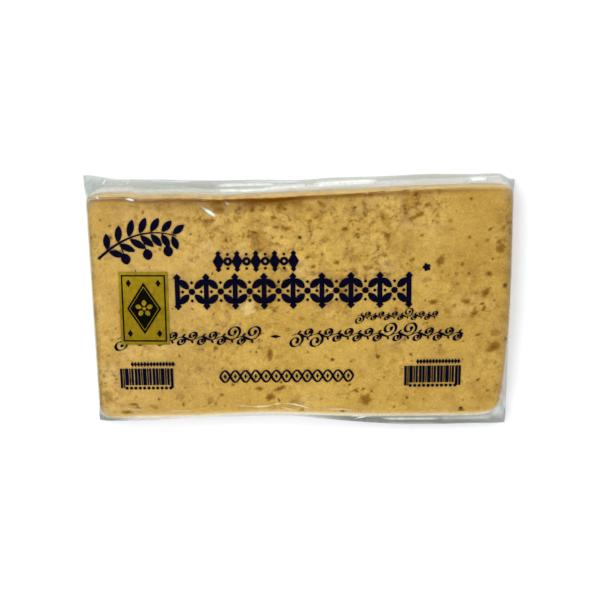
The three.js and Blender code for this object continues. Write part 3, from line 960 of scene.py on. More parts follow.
# %% [markdown]
# ## Film on the face
#
# On the face the film lies almost flat, with a faint ripple. It is painted white as a highlight
# along the bar's front edge most of all, and a little at its ends and corners, partly as rubbed
# film; a faint painted light also lies over its left part. Where it lies in two layers or holds
# oil it is grey, which is so at the bar's right end. The print needs the film's height, so that
# is one function of x and y that film and ink both ask.

# %% Film on the face
FILM_EDGE_RADIUS = 1.2
BUNCHED_CORNERS = ((-92, 51, 4.5), (-93, -52.5, 5.8), (93, 51, 4.0))


def film_height(x, y):
    """Height of the film's outer surface over the face."""
    near_rim = 1 - ease(rim_distance(x, y), 3, 14)
    ripple = 0.012 * lattice(x, y, 7, 20) + 0.04 * near_rim * lattice(x * 0.5, y, 2.4, 22)
    calm = away_from_label(x, y, 0.5, 3.0)
    return FACE_Z - swell(x, y) - 0.02 * calm + calm * (ripple - 0.03)


def corner_bumps(x, y, shares):
    """Round patches of bunched film on three of the bar's corners, each with its own share."""
    patches = []
    for share, (at_x, at_y, size) in zip(shares, BUNCHED_CORNERS):
        patches.append(share * bump(np.hypot(x - at_x, y - at_y), 0, size))
    return np.maximum.reduce(patches)


def scuffs_and_sheen(x, y):
    """How white the film is over the face, at points before the skew: a painted highlight along its edges,
    partly rubbed film, and a faint painted light towards the left.
    """
    patchy = 0.8 + 0.35 * lattice(x, y, 6, 23)
    # Painted highlight along the front edge, where the film's rounded rim catches the light.
    front = (0.30 + 0.2 * bump(x, -12, 48)) * bump(y, -BAR_HALF[1] + 0.5 * FILM_EDGE_RADIUS, 0.9)
    front = front * (0.4 + 0.6 * ease(x, -90, -70))
    right = 0.08 * bump(x, BAR_HALF[0], 2.4)
    left = 0.08 * bump(x, -BAR_HALF[0], 1.2)
    # Painted light: a faint white over the left part of the face, as if lit from that side.
    haze_and_light = 0.022 * ease(-x, 15, 65)
    corners = corner_bumps(x, y, (0.2, 0.42, 0.3))
    return np.maximum.reduce([front, right, left, haze_and_light, corners]) * patchy


def smudges(x, y):
    """How grey the film is over the face: at its right end, more so towards the back, and in
    a thin line at its left end."""
    patchy = 0.9 + 0.3 * lattice(x, y, 4, 34)
    right = (0.35 + 0.35 * ease(y, -15, 20)) * bump(x, BAR_HALF[0], 2.6)
    left = 0.7 * bump(x, -BAR_HALF[0] + 0.6, 1.2)
    corners = corner_bumps(x, y, (0.6, 0.6, 0.0))
    return np.clip((np.maximum(left, corners) + right) * patchy, 0, 1)


# %% [markdown]
# ## The film bag
#
# The bag is one closed skin. From the face's grid, loops turn over the edge, slope down from
# the side to the fin's root, run out along the fin to its tip and come back underneath. Long
# shallow folds lie along the bands at the back and the front, listed as arcs: each lifts the
# film and is painted white along it as a highlight. Between them the film is grey. Cloth
# simulation could find such folds, but not just where they are wanted.

# %% The film bag
FILM_CELLS = (244, 132)
FILM_BASE_RADIUS = 1.2
FIN_GAP = 0.22
FIN_LOOPS = 22
SLACK_LOOPS = 8
FOLD_RISE = 0.25
BAND_SCALE = 8.0
VIEW_LEAN = 0.15
BACK_STREAKS = [
    (-38, 5.7, -8, 5.8, 0.1, 0.75, 0.7), (-14, 6.9, 2, 7.0, 0.0, 0.4, 0.3),
    (-37, 3.9, -11, 3.7, -0.4, 0.6, 0.65), (-18, 3.7, 6, 5.2, 0.0, 1.0, 0.6),
    (4, 5.2, 37, 5.3, 0.0, 1.2, 0.9), (30, 5.0, 54, 4.2, 0.0, 1.0, 0.2),
    (-4, 3.9, 42, 3.8, 0.0, 0.45, 0.3), (75, 4.6, 83, 5.3, 0.0, 1.0, 1.1),
    (85, 6.5, 92, 5.5, 0.0, 0.6, 0.2),
]
FRONT_STREAKS = [
    (36, 5.1, 66, 5.1, 0.0, 0.5, 0.8), (62, 5.0, 91, 4.9, 0.0, 1.0, 0.4),
    (38, 7.4, 66, 7.4, 0.1, 0.3, 0.25), (22, 4.8, 34, 3.6, 0.0, 0.5, 0.8),
    (-92, 3.4, -84, 4.6, 0.0, 0.8, 0.3),
]
CORNER_SHARPNESS = {"back_left": 0.8, "front_left": 0.7, "front_right": 0.8}

film_cell = 2 * (BAR_HALF[0] - BAR_HALF[1]) / (FILM_CELLS[0] - FILM_CELLS[1])
film_rim = BAR_HALF[0] - film_cell * FILM_CELLS[0] / 2
print("film grid step", round(film_cell, 3), "mm, rim", round(film_rim, 2), "mm")


def fin_tip(border_x, border_y):
    """The fin's tip at the border points: the rectangle's sharp or softened corner point, moved
    out by the reach, and the sharp point itself."""
    core, step, bent = split_corners(border_x, border_y, BAR_HALF)
    sharp = CORNER_RADIUS / (CORNER_RADIUS - film_rim)
    sx, sy = core[0] + step[0] * sharp, core[1] + step[1] * sharp
    soft = np.select([(sx < 0) & (sy > 0), (sx < 0) & (sy < 0), (sx > 0) & (sy < 0)],
                     [1 - share for share in CORNER_SHARPNESS.values()], 0.0)
    reach_x, reach_y = fin_reach(sx, sy)
    x = sx - soft * (step[0] - bent[0]) * sharp
    y = sy - soft * (step[1] - bent[1]) * sharp
    return np.stack([x * (1 + reach_x / BAR_HALF[0]), y * (1 + reach_y / BAR_HALF[1])], 1), sx, sy


def film_mesh():
    """Points, faces, and two painted numbers: how grey the film is and how white."""
    x, y = slab_grid(FILM_CELLS, film_cell)
    face_x, face_y = rounded_grid(x, y, BAR_HALF)
    walk = border_walk(*FILM_CELLS)
    bx, by = x[walk], y[walk]
    tip, sx, sy = fin_tip(bx, by)
    middle = fin_height(sx, sy)
    edge = shifted(*outline_loop(bx, by, BAR_HALF, film_rim, 0.0), 0)[:, :2]

    back, front, right = ease(by, 44, 48), ease(-by, 44, 48), ease(bx, 84, 90)
    from_corner = np.hypot(BAR_HALF[0] - abs(sx), BAR_HALF[1] - abs(sy))
    ear = 1 - ease(from_corner, 3, 16)
    left_ear = front * ear * (bx < 0)
    wide_front = front * ease(bx, -5, 35)
    loose = 0.3 + (2.6 * back + 1.1 * wide_front) * ease(BAR_HALF[0] - abs(sx), 0, 6)
    along = np.where(abs(by) >= BAR_HALF[1] - 1, sx, sy)
    mottled = 1 + 0.25 * lattice(along, 0 * along, 9, 29)
    clear_middle = 0.15 * back * bump(sx, 0, 45)
    bunched = ear * back * (bx < 0)
    over_slump = 0.25 * back * ease(-sx, 5, 35)
    cloudy_sheen = 0.15 * back * bump(sx, -77, 12)
    at_tip = back * ease(-sx, 88, 91.5)
    tip_look = abs(tip[:, 1] - edge[:, 1]) + VIEW_LEAN * (FACE_Z - middle)
    rings, greys, whites = [], [], []

    def add_ring(out, z, grey, white, tip_share=0.0):
        plan = shifted(*outline_loop(bx, by, BAR_HALF, film_rim, out), 0)[:, :2]
        plan = plan + (tip - plan) * tip_share
        look = abs(plan[:, 1] - edge[:, 1]) + VIEW_LEAN * (FACE_Z - z)
        band = BAND_SCALE * look / tip_look
        streak = back * arc_marks(plan[:, 0], band, BACK_STREAKS)
        streak = np.maximum(streak, front * arc_marks(plan[:, 0], band, FRONT_STREAKS))
        corner = 0.6 * bump(np.hypot(plan[:, 0] - 90.5, plan[:, 1] + 52.0), 0, 3.4) * (z > middle)
        streak = np.maximum(streak, corner)
        rings.append(np.column_stack([plan, z + FOLD_RISE * streak * (tip_share > 0)]))
        greys.append(np.clip(grey + 0 * z, 0, 1))
        # Folds are painted white as highlights.
        whites.append(np.clip(white + 0.8 * streak * (out > 0), 0, 1))

    def fin_grey(share):
        """Grey of the fin this far along it."""
        outer = ease(share, 0.3, 0.55)
        # Painted shade: the fin at the front right is painted a deeper grey, as it lies in shade and mirrors
        # the dark room.
        grey = 0.60 * back - clear_middle + wide_front * (0.45 + 0.55 * outer - 0.1 * ease(share, 0.8, 0.95))
        grey = 0.06 + grey + 0.10 * bunched + 0.32 * at_tip + 0.20 * right
        return (grey + left_ear * (0.45 + 0.4 * outer)) * mottled

    for out in np.linspace(-film_rim, -FILM_EDGE_RADIUS, 4)[1:]:
        flat_x, flat_y = outline_loop(bx, by, BAR_HALF, film_rim, out)
        edge_z, scuffed_and_sheen = film_height(*skewed(flat_x, flat_y)), scuffs_and_sheen(flat_x, flat_y)
        smudged = smudges(flat_x, flat_y)
        add_ring(out, edge_z, smudged, scuffed_and_sheen)
    for out, drop in zip(*edge_arc(FILM_EDGE_RADIUS, 72, 0, 5)):
        add_ring(out, edge_z + drop, smudged, scuffed_and_sheen)
    wall_z = edge_z - FILM_EDGE_RADIUS
    root_z = middle + FIN_GAP / 2
    for t in np.linspace(0, 1, SLACK_LOOPS + 1)[1:]:
        sag = 0.10 * lattice(sx, sy, 3.1, 28, 9 * t) * np.sin(np.pi * t)
        z = wall_z + (root_z - wall_z) * (1 - (1 - t) ** 1.25)
        # Painted reflection: the loose film is painted milky white where it would mirror the bright room.
        milky_sheen = (1 - t) * scuffed_and_sheen + (0.12 * back + 0.06 * ear) * mottled * ease(t, 0.1, 0.6)
        milky_sheen = milky_sheen + over_slump * mottled * ease(t, 0.1, 0.5) * (1 - 0.7 * ease(t, 0.5, 1.0))
        shaded = 0.22 * back * ease(-sx, 10, 30) * ease(t, 0.0, 0.3) * (1 - 0.5 * t)
        shaded = shaded + 0.3 * front * bump(sx, 52, 13) * ease(t, 0.2, 0.6)
        add_ring(loose * t + sag, z, t * fin_grey(0.0) + shaded, milky_sheen)
    # Painted sheen on the fin, standing in for its reflections.
    fin_sheen = (0.14 * back + 0.10 * wide_front + 0.08 * ear + 0.06 * bunched + cloudy_sheen) * mottled
    for side, shares in ((1, np.linspace(0, 1, FIN_LOOPS)[1:]), (-1, np.linspace(1, 0, FIN_LOOPS)[1:])):
        for share in shares:
            folds = 0.35 * share * np.sin(2 * np.pi * sx / 46)
            folds = folds + 0.12 * lattice(along, 5 * share * BAND_SCALE, 9, 27) * ease(share, 0, 0.4)
            gap = side * FIN_GAP * np.sqrt(1 - share) / 2
            add_ring(loose, middle + folds + gap, fin_grey(share), fin_sheen * (side > 0), share)
    for t in np.linspace(1, 0, SLACK_LOOPS + 1)[1:]:
        z = FILM_BASE_RADIUS + (middle - FIN_GAP / 2 - FILM_BASE_RADIUS) * (1 - (1 - t) ** 1.5)
        add_ring(loose * t, z, 0.2 * t * fin_grey(0.0), 0.0)
    for out, drop in zip(*edge_arc(FILM_BASE_RADIUS, -20, -90, 4)):
        add_ring(out, 2 * FILM_BASE_RADIUS + drop + 0 * bx, 0.0, 0.0)

    coarse = (FILM_CELLS[0] // 2, FILM_CELLS[1] // 2)
    base_x, base_y = rounded_grid(*slab_grid(coarse, film_cell * 2), BAR_HALF)
    underside = shifted(base_x * UNDERSIDE_SHARE, base_y * UNDERSIDE_SHARE, 0.0)
    face = shifted(face_x, face_y, film_height(*skewed(face_x, face_y)))
    points, faces = close_slab(FILM_CELLS, face, rings, underside)
    greys = np.concatenate([smudges(face_x, face_y).ravel(), *greys])
    whites = np.concatenate([scuffs_and_sheen(face_x, face_y).ravel(), *whites])
    rest = np.zeros(len(points) - len(greys))
    return drop_loose_points(points, faces, np.append(greys, rest), np.append(whites, rest))


# %% [markdown]
# ## Film's finish
#
# Clear film is almost nothing but its gloss, so its shader is a transparent one with a glossy
# one laid over it by Fresnel, as real film shines most where it turns away. Loose film greys
# what is behind it, and its deeper grey at the front right is painted shade. Folds, edges and
# scuffs are painted milky white, which stands in for highlights and reflections as well as
# rubbed film: one painted number tints the transparent part and another mixes in white. The
# gloss counts both faces of the sheet, so its index is a little higher than plastic's.
# Refraction would be wrong, as film is too thin to bend light.

# %% Film material
FILM_TINT = (0.54, 0.57, 0.55)
# Grey of the painted shade on the front fin.
FRONT_SHADE_TINT = (0.51, 0.505, 0.465)
FILM_CLEAR = (0.985, 0.985, 0.98)
# White of the film's painted highlights and reflections, and of its scuffs.
FILM_SHEEN_WHITE = (0.90, 0.94, 0.90)
# Cream of the painted highlights on the front wrinkles.
HIGHLIGHT_CREAM = (1.0, 0.86, 0.55)
FILM_GLOSS_ROUGHNESS = 0.09
FILM_INDEX = 1.65
MOST_HAZE = 0.9


def film_material(name, sheen_colour):
    """Transparent film, greyer where painted so, with painted white for highlights, reflections and scuffs,
    and a Fresnel gloss.
    """
    material, output = new_material(name)
    place = add_node(material, "TexCoord").outputs["Object"]
    across = add_node(material, "SeparateXYZ", Vector=place).outputs["Y"]
    across = arithmetic(material, "MULTIPLY_ADD", across, 9.0, 0.5)
    deep = ramp(material, across, (0.0, FRONT_SHADE_TINT), (1.0, FILM_TINT))
    tint = blend_colours(material, attribute(material, "grey"), FILM_CLEAR, deep)
    clear = add_node(material, "BsdfTransparent", Color=tint)
    sheen_white = add_node(material, "BsdfDiffuse", Color=(*sheen_colour, 1))
    streaks = ramp(material, noise(material, 420, 3, 0.6), (0.3, 0.75), (0.7, 1.15))
    haze_and_light = arithmetic(material, "MULTIPLY", attribute(material, "white"), streaks)
    haze_and_light = arithmetic(material, "MINIMUM", haze_and_light, MOST_HAZE)
    body = add_node(material, "MixShader", _0=haze_and_light, _1=clear.outputs[0], _2=sheen_white.outputs[0])
    wavy = noise(material, 240, 2)
    fine = add_node(material, "Bump", Strength=0.2, Distance=0.0003, Height=wavy).outputs[0]
    gloss = add_node(material, "BsdfGlossy", Color=(1, 1, 1, 1), Roughness=FILM_GLOSS_ROUGHNESS,
                     Normal=fine)
    inside = add_node(material, "NewGeometry").outputs["Backfacing"]
    index = arithmetic(material, "MULTIPLY_ADD", inside, 1 / FILM_INDEX - FILM_INDEX, FILM_INDEX)
    shine = add_node(material, "Fresnel", IOR=index, Normal=fine).outputs[0]
    bright = arithmetic(material, "SUBTRACT", 1.0, attribute(material, "dull"))
    shine = arithmetic(material, "MULTIPLY", shine, bright)
    shader = add_node(material, "MixShader", _0=shine, _1=body.outputs[0], _2=gloss.outputs[0])
    material.node_tree.links.new(shader.outputs[0], output.inputs["Surface"])
    return material


def film_dullness(points):
    """How far the gloss is held back: along the face's back edge, and on both ends of the
    loose film behind the bar, where it lies flat."""
    x, _, z = points.T
    gap = back_distance(points)
    face_edge = 0.9 * bump(x, -10, 80) * bump(gap, 0.0, 4.0) * ease(z, 10, 12)
    right_end, left_end = ease(x, 27, 42) * ease(-x, -82, -72), ease(-x, 45, 60)
    return np.maximum(face_edge, 0.75 * np.maximum(right_end, left_end) * ease(-gap, 0.5, 2.0))


points, faces, grey, white = film_mesh()
painted = {"grey": grey, "white": white, "dull": film_dullness(points)}
film = make_piece("film_bag", points, faces, film_material("clear_film", FILM_SHEEN_WHITE), "clear_film", painted)
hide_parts("film_wrapped_block")

# %% [markdown]
# ## Printing on the film
#
# The print is plain navy ink on the outside of the film. It could be painted by the film's
# shader, but then its edges would be only as sharp as a mask. Here each mark is a thin solid
# skin that follows the film: a small sheet of plan points, given the film's height and a
# thickness of a few hundredths of a millimetre. Nearly every mark is a ribbon, which is a
# path with a width that may change along it; round marks are discs.

# %% Ink helpers
INK_LIFT = 0.012
INK_THICKNESS = 0.02
INK_STEP = 0.6
RING_STEP = 0.3


def ribbon(path, width, across=2):
    """A sheet of plan points: at each path point, points spread along the path's normal over
    the width there."""
    path = np.asarray(path, float)
    tangent = np.gradient(path, axis=0)
    tangent /= np.maximum(np.linalg.norm(tangent, axis=1, keepdims=True), 1e-9)
    normal = np.stack([-tangent[:, 1], tangent[:, 0]], 1)
    spread = np.linspace(0.5, -0.5, across + 1)
    width = np.broadcast_to(width, len(path))
    return path[:, None] + (width[:, None] * spread)[:, :, None] * normal[:, None]


def stretch(start, end, step=INK_STEP):
    """Evenly spaced points of a straight line, and how far along it each is, from 0 to 1."""
    start, end = np.array(start, float), np.array(end, float)
    share = np.linspace(0, 1, max(5, int(np.ceil(np.linalg.norm(end - start) / step)) | 1))
    return start + share[:, None] * (end - start), share


def lozenge(centre, width, height, turn=0.0):
    """A diamond: a line through its long axis, as wide as the distance from its ends allows."""
    angle = np.radians(turn + 90)
    arm = np.array([np.cos(angle), np.sin(angle)]) * height / 2
    path, share = stretch(np.array(centre) - arm, np.array(centre) + arm, height / 8)
    return ribbon(path, width * (1 - abs(2 * share - 1)) + 0.05)


def petal(start, end, width, fullness=0.8):
    """A leaf: a line whose width is a sine of the way along it, raised to a power."""
    path, share = stretch(start, end, 0.35)
    return ribbon(path, width * np.sin(np.pi * share) ** fullness + 0.05)


def disc(centre, radius, lobes=0, depth=0.0, cells_across=12):
    """A disc from a square grid bent round: the longer step is the distance and the shorter
    over the longer the angle. Lobes scallop its edge: round bumps, with a notch between them
    as deep as this share of the radius."""
    side = np.linspace(-1, 1, cells_across + 1)
    x, y = np.meshgrid(side, side, indexing="ij")
    longer = np.maximum(abs(x), abs(y))
    angle = np.pi / 4 * np.minimum(abs(x), abs(y)) / np.maximum(longer, 1e-9)
    wide = abs(x) >= abs(y)
    dx = np.sign(x) * longer * np.where(wide, np.cos(angle), np.sin(angle))
    dy = np.sign(y) * longer * np.where(wide, np.sin(angle), np.cos(angle))
    notch = 1 - abs(np.sin(lobes / 2 * np.arctan2(dy, dx))) if lobes else 0.0
    reach = radius * (1 - depth * longer * notch)
    return np.stack([centre[0] + dx * reach, centre[1] + dy * reach], -1)


def ring(centre, radius, width):
    """A ribbon round a circle: its path is the centre plus the radius times cosine and sine."""
    steps = max(8, int(2 * np.pi * radius / RING_STEP))
    angle = np.radians(np.linspace(0, 360, steps))
    path = np.array(centre) + radius * np.stack([np.cos(angle), np.sin(angle)], 1)
    return ribbon(path, width)


def skin(sheets, height, lift, thickness):
    """Closed thin solids over sheets of plan points: the sheet at the height plus lift, again
    one thickness up, and a wall round the border."""
    points, faces, count = [], [], 0
    for sheet in sheets:
        z = height(sheet[..., 0], sheet[..., 1]) + lift
        low = np.dstack([sheet, z])
        high = np.dstack([sheet, z + thickness])
        area = np.cross(sheet[-1, 0] - sheet[0, 0], sheet[0, -1] - sheet[0, 0])
        ids = np.arange(z.size).reshape(z.shape)
        if area < 0:
            ids = ids[:, ::-1]
        walk = ids[border_walk(ids.shape[0] - 1, ids.shape[1] - 1)]
        points += [low.reshape(-1, 3), high.reshape(-1, 3)]
        faces += [grid_quads(ids)[:, ::-1] + count, grid_quads(ids) + count + z.size]
        faces.append(loop_quads(walk + z.size, walk) + count)
        count += 2 * z.size
    return np.concatenate(points), faces


# %% [markdown]
# ## Glints
#
# Where the film is bent sharply it forms a short ridge that catches a bright highlight, and each
# such glint is painted: a thin skin on the film, shaped like a leaf, whose middle is painted
# white and whose rim is clear. The wrinkles by the front edge get the same painted highlights in
# cream. The film's own mesh is too coarse to draw marks less than a millimetre wide.

# %% Glints
FACE_GLINTS = [
    (-42.4, 45.7, -35.6, 40.8, 0.0, 2.0, 0.85), (-41.3, 44.4, -38.8, 42.6, 0.0, 0.6, 0.4),
    (-75.8, 49.4, -70.9, 48.4, 0.2, 1.2, 0.85), (-88.2, 50.7, -86.4, 49.3, 0.0, 1.0, 0.7),
    (-31.9, 47.5, -30.0, 46.3, 0.0, 1.3, 0.3),
]
# Painted cream highlights along the wrinkles by the front edge.
WRINKLE_HIGHLIGHTS = [
    (-31.0, -46.2, -23.0, -46.8, 0.0, 0.9, 0.4), (-25.0, -46.9, -12.5, -46.4, -0.3, 1.0, 0.6),
    (-14.0, -46.5, -8.0, -45.4, 0.2, 0.9, 0.5), (-9.0, -45.4, 4.8, -48.4, 0.7, 1.1, 0.6),
    (-12.0, -46.0, -1.0, -48.8, -0.6, 0.9, 0.4), (-64.0, -48.6, -48.0, -48.9, 0.0, 0.9, 0.3),
    (6.0, -48.2, 26.0, -49.2, 0.2, 0.9, 0.4), (-84.0, -47.6, -70.0, -48.4, 0.2, 0.9, 0.3),
]
FIN_GLINTS = [
    (-84.6, 57.2, -86.9, 54.2, 0.0, 0.9, 0.85), (-76.1, 54.9, -75.1, 54.6, 0.0, 0.7, 0.7),
    (72.0, 53.6, 82.5, 55.5, 0.0, 2.4, 0.95), (81.6, 56.8, 83.4, 53.4, 0.3, 0.6, 0.85),
    (24.0, -56.0, 31.4, -54.2, 0.0, 1.2, 0.9),
]
GLINT_THICKNESS = 0.03


def glint_sheet(x0, y0, x1, y1, bow, width):
    """A leaf along a bowed line, widest past its middle, and how white each of its points may
    be: one along its middle line and zero round its rim."""
    start, end = np.array([x0, y0]), np.array([x1, y1])
    share = np.linspace(0, 1, 21)
    aside = np.array([y0 - y1, x1 - x0]) / np.linalg.norm(end - start)
    path = start + share[:, None] * (end - start) + (4 * bow * share * (1 - share))[:, None] * aside
    fullness = np.sin(np.pi * share**1.3)
    across = np.linspace(-1, 1, 9)
    return ribbon(path, width * fullness**0.8 + 0.04, 8), fullness[:, None] ** 0.6 * (1 - across**2)


def glint_height(x, y):
    """On the face the film's own height; beyond the bar, just above the fin's folds."""
    over_fin = (y > BAR_HALF[1] + 1) | (y < -BAR_HALF[1] - 1.5)
    return np.where(over_fin, fin_height(x, np.sign(y) * BAR_HALF[1]) + 1.0, film_height(x, y))


def make_glints(name, shapes, material):
    """One piece of glints: leaves on the film, white along their middles."""
    sheets, shines = [], []
    for *shape, whiteness in shapes:
        sheet, shine = glint_sheet(*shape)
        sheets.append(sheet)
        shines += [0 * shine.ravel(), whiteness * shine.ravel()]
    white = np.concatenate(shines)
    painted = {"grey": 0 * white, "white": white, "dull": 0 * white}
    make_piece(name, *skin(sheets, glint_height, INK_LIFT, GLINT_THICKNESS), material, "clear_film", painted)


make_glints("film_glints", FACE_GLINTS + FIN_GLINTS, film.data.materials[0])
make_glints("film_wrinkle_highlights", WRINKLE_HIGHLIGHTS, film_material("creased_film_highlights", HIGHLIGHT_CREAM))

# %% [markdown]
# ## Ink
#
# Navy ink is nearly black, with a little more blue where it is thin, and duller than the film.


# %% Ink material
def ink_material(name, deep, thin, roughness):
    """Opaque ink, a little thinner in patches."""
    material, output = new_material(name)
    colour = ramp(material, noise(material, 500, 3, 0.6), (0.35, deep), (0.75, thin))
    rough_patches = noise(material, 3000, 2, 0.6)
    bumps = add_node(material, "Bump", Strength=0.1, Distance=0.0001, Height=rough_patches).outputs[0]
    shader = add_node(material, "BsdfPrincipled", Base_Color=colour, Roughness=roughness,
                      Specular_IOR_Level=0.02, Normal=bumps)
    material.node_tree.links.new(shader.outputs[0], output.inputs["Surface"])
    return material


navy = ink_material("navy_ink", (0.0008, 0.0006, 0.0045), (0.003, 0.0025, 0.016), 0.4)
black = ink_material("black_ink", (0.0012, 0.0010, 0.0006), (0.005, 0.004, 0.002), 0.4)
SLAB_EDGE = 35


def print_piece(name, sheets):
    """One printed ornament as a piece."""
    points, faces = skin(sheets, film_height, INK_LIFT, INK_THICKNESS)
    return make_piece(name, points, faces, navy, "navy_ink", sharp_angle=SLAB_EDGE)


# %% [markdown]
# ## The great frieze
#
# The widest print on the face is a bold band across the middle. Here it is a border of
# four-petalled flowers between stout uprights, a pattern that any printer's sample book has:
# plain shapes that say nothing, of the same weight and size as the band needs.

# %% Great frieze
FRIEZE = {"left": -54.2, "right": 48.6, "middle": 7.4, "flowers": 8}


def flower(centre, size):
    """Four pointed petals on the diagonals round a small eye, with dots between them."""
    sheets = [disc(centre, 0.12 * size, cells_across=8)]
    for angle in np.radians((45, 135, 225, 315)):
        arm = np.array([np.cos(angle), np.sin(angle)])
        sheets.append(petal(centre + 0.15 * size * arm, centre + 0.64 * size * arm, 0.26 * size, 0.6))
    for angle in np.radians((0, 90, 180, 270)):
        arm = np.array([np.cos(angle), np.sin(angle)])
        sheets.append(lozenge(centre + 0.34 * size * arm, 0.14 * size, 0.14 * size))
    return sheets


def upright(x, y, width, height):
    """A stout bar with a wider lozenge at each end."""
    bar, _ = stretch((x, y - 0.38 * height), (x, y + 0.38 * height))
    sheets = [ribbon(bar, width)]
    for side in (-1, 1):
        sheets.append(lozenge((x, y + side * 0.40 * height), 1.55 * width, 0.22 * height))
    return sheets


pitch = (FRIEZE["right"] - FRIEZE["left"]) / FRIEZE["flowers"]
frieze = []
for place in np.arange(FRIEZE["flowers"] + 1):
    x = FRIEZE["left"] + place * pitch
    frieze += upright(x, FRIEZE["middle"], 2.2, 16.5)
    if place < FRIEZE["flowers"]:
        frieze += flower(np.array([x + pitch / 2, FRIEZE["middle"]]), 12.2)
print_piece("print_great_frieze", frieze)

# %% [markdown]
# ## The small frieze and the small flower
#
# A short line of lozenges and rings sits above the band, and a small five-lobed flower at its
# right.

# %% Small frieze
SMALL_FRIEZE = {"left": -35.6, "middle": 21.0, "pitch": 4.15, "marks": 9}
SMALL_FLOWER = (56.3, 17.6)
small = []
for place in range(SMALL_FRIEZE["marks"]):
    x, y = SMALL_FRIEZE["left"] + SMALL_FRIEZE["pitch"] * place, SMALL_FRIEZE["middle"]
    if place % 2 == 0:
        small.append(lozenge((x, y), 5.0, 8.6))
        small += [lozenge((x, y + side * 3.6), 2.6, 2.6) for side in (-1, 1)]
    else:
        small.append(ring((x, y), 1.3, 1.3))
        small += [disc((x, y + side * 3.2), 0.65, cells_across=6) for side in (-1, 1)]
print_piece("print_small_frieze", small)
print_piece("print_small_flower", [disc(SMALL_FLOWER, 1.9, lobes=5, depth=0.35)])

# %% [markdown]
# ## The almond sprig
#
# Top left is a picture in the same ink: a twig of almond with leaves and three nuts. The twig
# is a curve, the leaves are petals set along it in pairs, and each nut is a full petal that
# hangs on a thin stalk.

# %% Almond sprig
TWIG_START = np.array([-88.5, 22.8])
TWIG_END = np.array([-53.5, 32.6])
TWIG_BOW = 5.5


def on_twig(share):
    """A point of the twig: a straight line bowed upwards by a parabola."""
    share = np.asarray(share, float)[..., None]
    lift = np.array([0.0, 4 * TWIG_BOW]) * share * (1 - share)
    return TWIG_START + share * (TWIG_END - TWIG_START) + lift


share = np.linspace(0, 1, 60)
sprig = [ribbon(on_twig(share), 1.2 - 0.8 * share)]
for share_at in np.linspace(0.12, 0.94, 7):
    foot = on_twig(share_at)
    ahead = on_twig(share_at + 0.02) - foot
    heading = np.arctan2(ahead[1], ahead[0])
    size = 8.6 - 3.2 * abs(share_at - 0.4)
    for side in (-1, 1):
        arm = np.array([np.cos(heading + side * 0.95), np.sin(heading + side * 0.95)])
        sprig.append(petal(foot + 0.7 * arm, foot + size * arm, 3.1, 0.7))
for share_at, drop in ((0.28, 5.4), (0.56, 7.2), (0.82, 6.2)):
    top = on_twig(share_at)
    hang = top + np.array([1.6, -drop])
    sprig.append(ribbon(np.linspace(top, hang, 8), 0.45))
    sprig.append(petal(hang + (0.2, 0.6), hang + (1.2, -4.4), 4.2, 0.6))
print_piece("print_almond_sprig", sprig)

# %% [markdown]
# ## The long vine
#
# A pen-drawn vine runs along the lower part of the face, in two halves with a lozenge between.
# Its stem waves, and in every bend a tendril winds in to a ball and a small leaf stands on the
# other side. A broad nib draws thick one way and thin the other, so the ribbon's width follows
# the sine of the angle between stroke and nib. All of it leans over a little.

# %% Long vine
NIB_ANGLE = np.radians(25)
VINE_LEAN = 0.3
TENDRIL_TURNS = 1.3
GRAND = 1.65
VINE_NIB = (0.32, 1.15)
SMALL_VINE_NIB = (0.24, 0.8)


def pen_stroke(path, thin, thick):
    """A ribbon whose width follows the pen's heading."""
    tangent = np.gradient(path, axis=0)
    heading = np.arctan2(tangent[:, 1], tangent[:, 0])
    return ribbon(path, thin + (thick - thin) * abs(np.sin(heading - NIB_ANGLE)) ** 1.5)


def vine(left, right, middle, pitch, curl, nib, grand=()):
    """A waved stem with tendrils hanging from its crests and standing on its troughs. A
    tendril is a circle that shrinks as it turns; some are grand ones."""
    count = int(round((right - left) / pitch))
    x = np.linspace(left, right, count * 14 + 1)
    sway = 0.35 * curl
    stem = np.stack([x, middle + sway * np.sin(np.pi * (x - left) / (right - left) * count)], 1)
    sheets = [pen_stroke(stem, *nib)]
    for place in range(count):
        side = 1 if place % 2 else -1
        foot = np.array([left + (right - left) * (place + 0.5) / count, middle - side * sway])
        size = curl * (GRAND if place in grand else 1)
        wind = np.linspace(0, 1, 44)
        angle = side * (2 * np.pi * TENDRIL_TURNS * wind - np.pi / 2)
        radius = size * (1 - 0.74 * wind)
        centre = foot + (0.0, side * size)
        path = centre + radius[:, None] * np.stack([np.cos(angle), np.sin(angle)], 1)
        sheets.append(pen_stroke(path, *nib))
        sheets.append(disc(path[-1], 0.2 * size + 0.1, cells_across=6))
        arm = np.array([0.62, -0.78 * side])
        sheets.append(petal(foot + 0.1 * arm, foot + 0.95 * curl * arm, 0.42 * curl, 0.7))
    for sheet in sheets:
        sheet[..., 0] += VINE_LEAN * (sheet[..., 1] - middle)
    return sheets


vine_sheets = vine(-82.5, -19.5, -14.2, 4.5, 2.1, VINE_NIB, grand=(0, 11, 13))
vine_sheets += vine(-3.5, 73.0, -13.2, 4.5, 2.1, VINE_NIB, grand=(0, 2, 9, 11))
vine_sheets.append(lozenge((-11.0, -13.6), 1.5, 5.0, 90))
print_piece("print_long_vine", vine_sheets)
print_piece("print_small_vine", vine(25.5, 61.5, -4.5, 3.0, 1.35, SMALL_VINE_NIB, grand=(0, 7)))

# %% [markdown]
# ## The braid
#
# A thin braid of two waves, with a dot in every eye, stands below the vine.

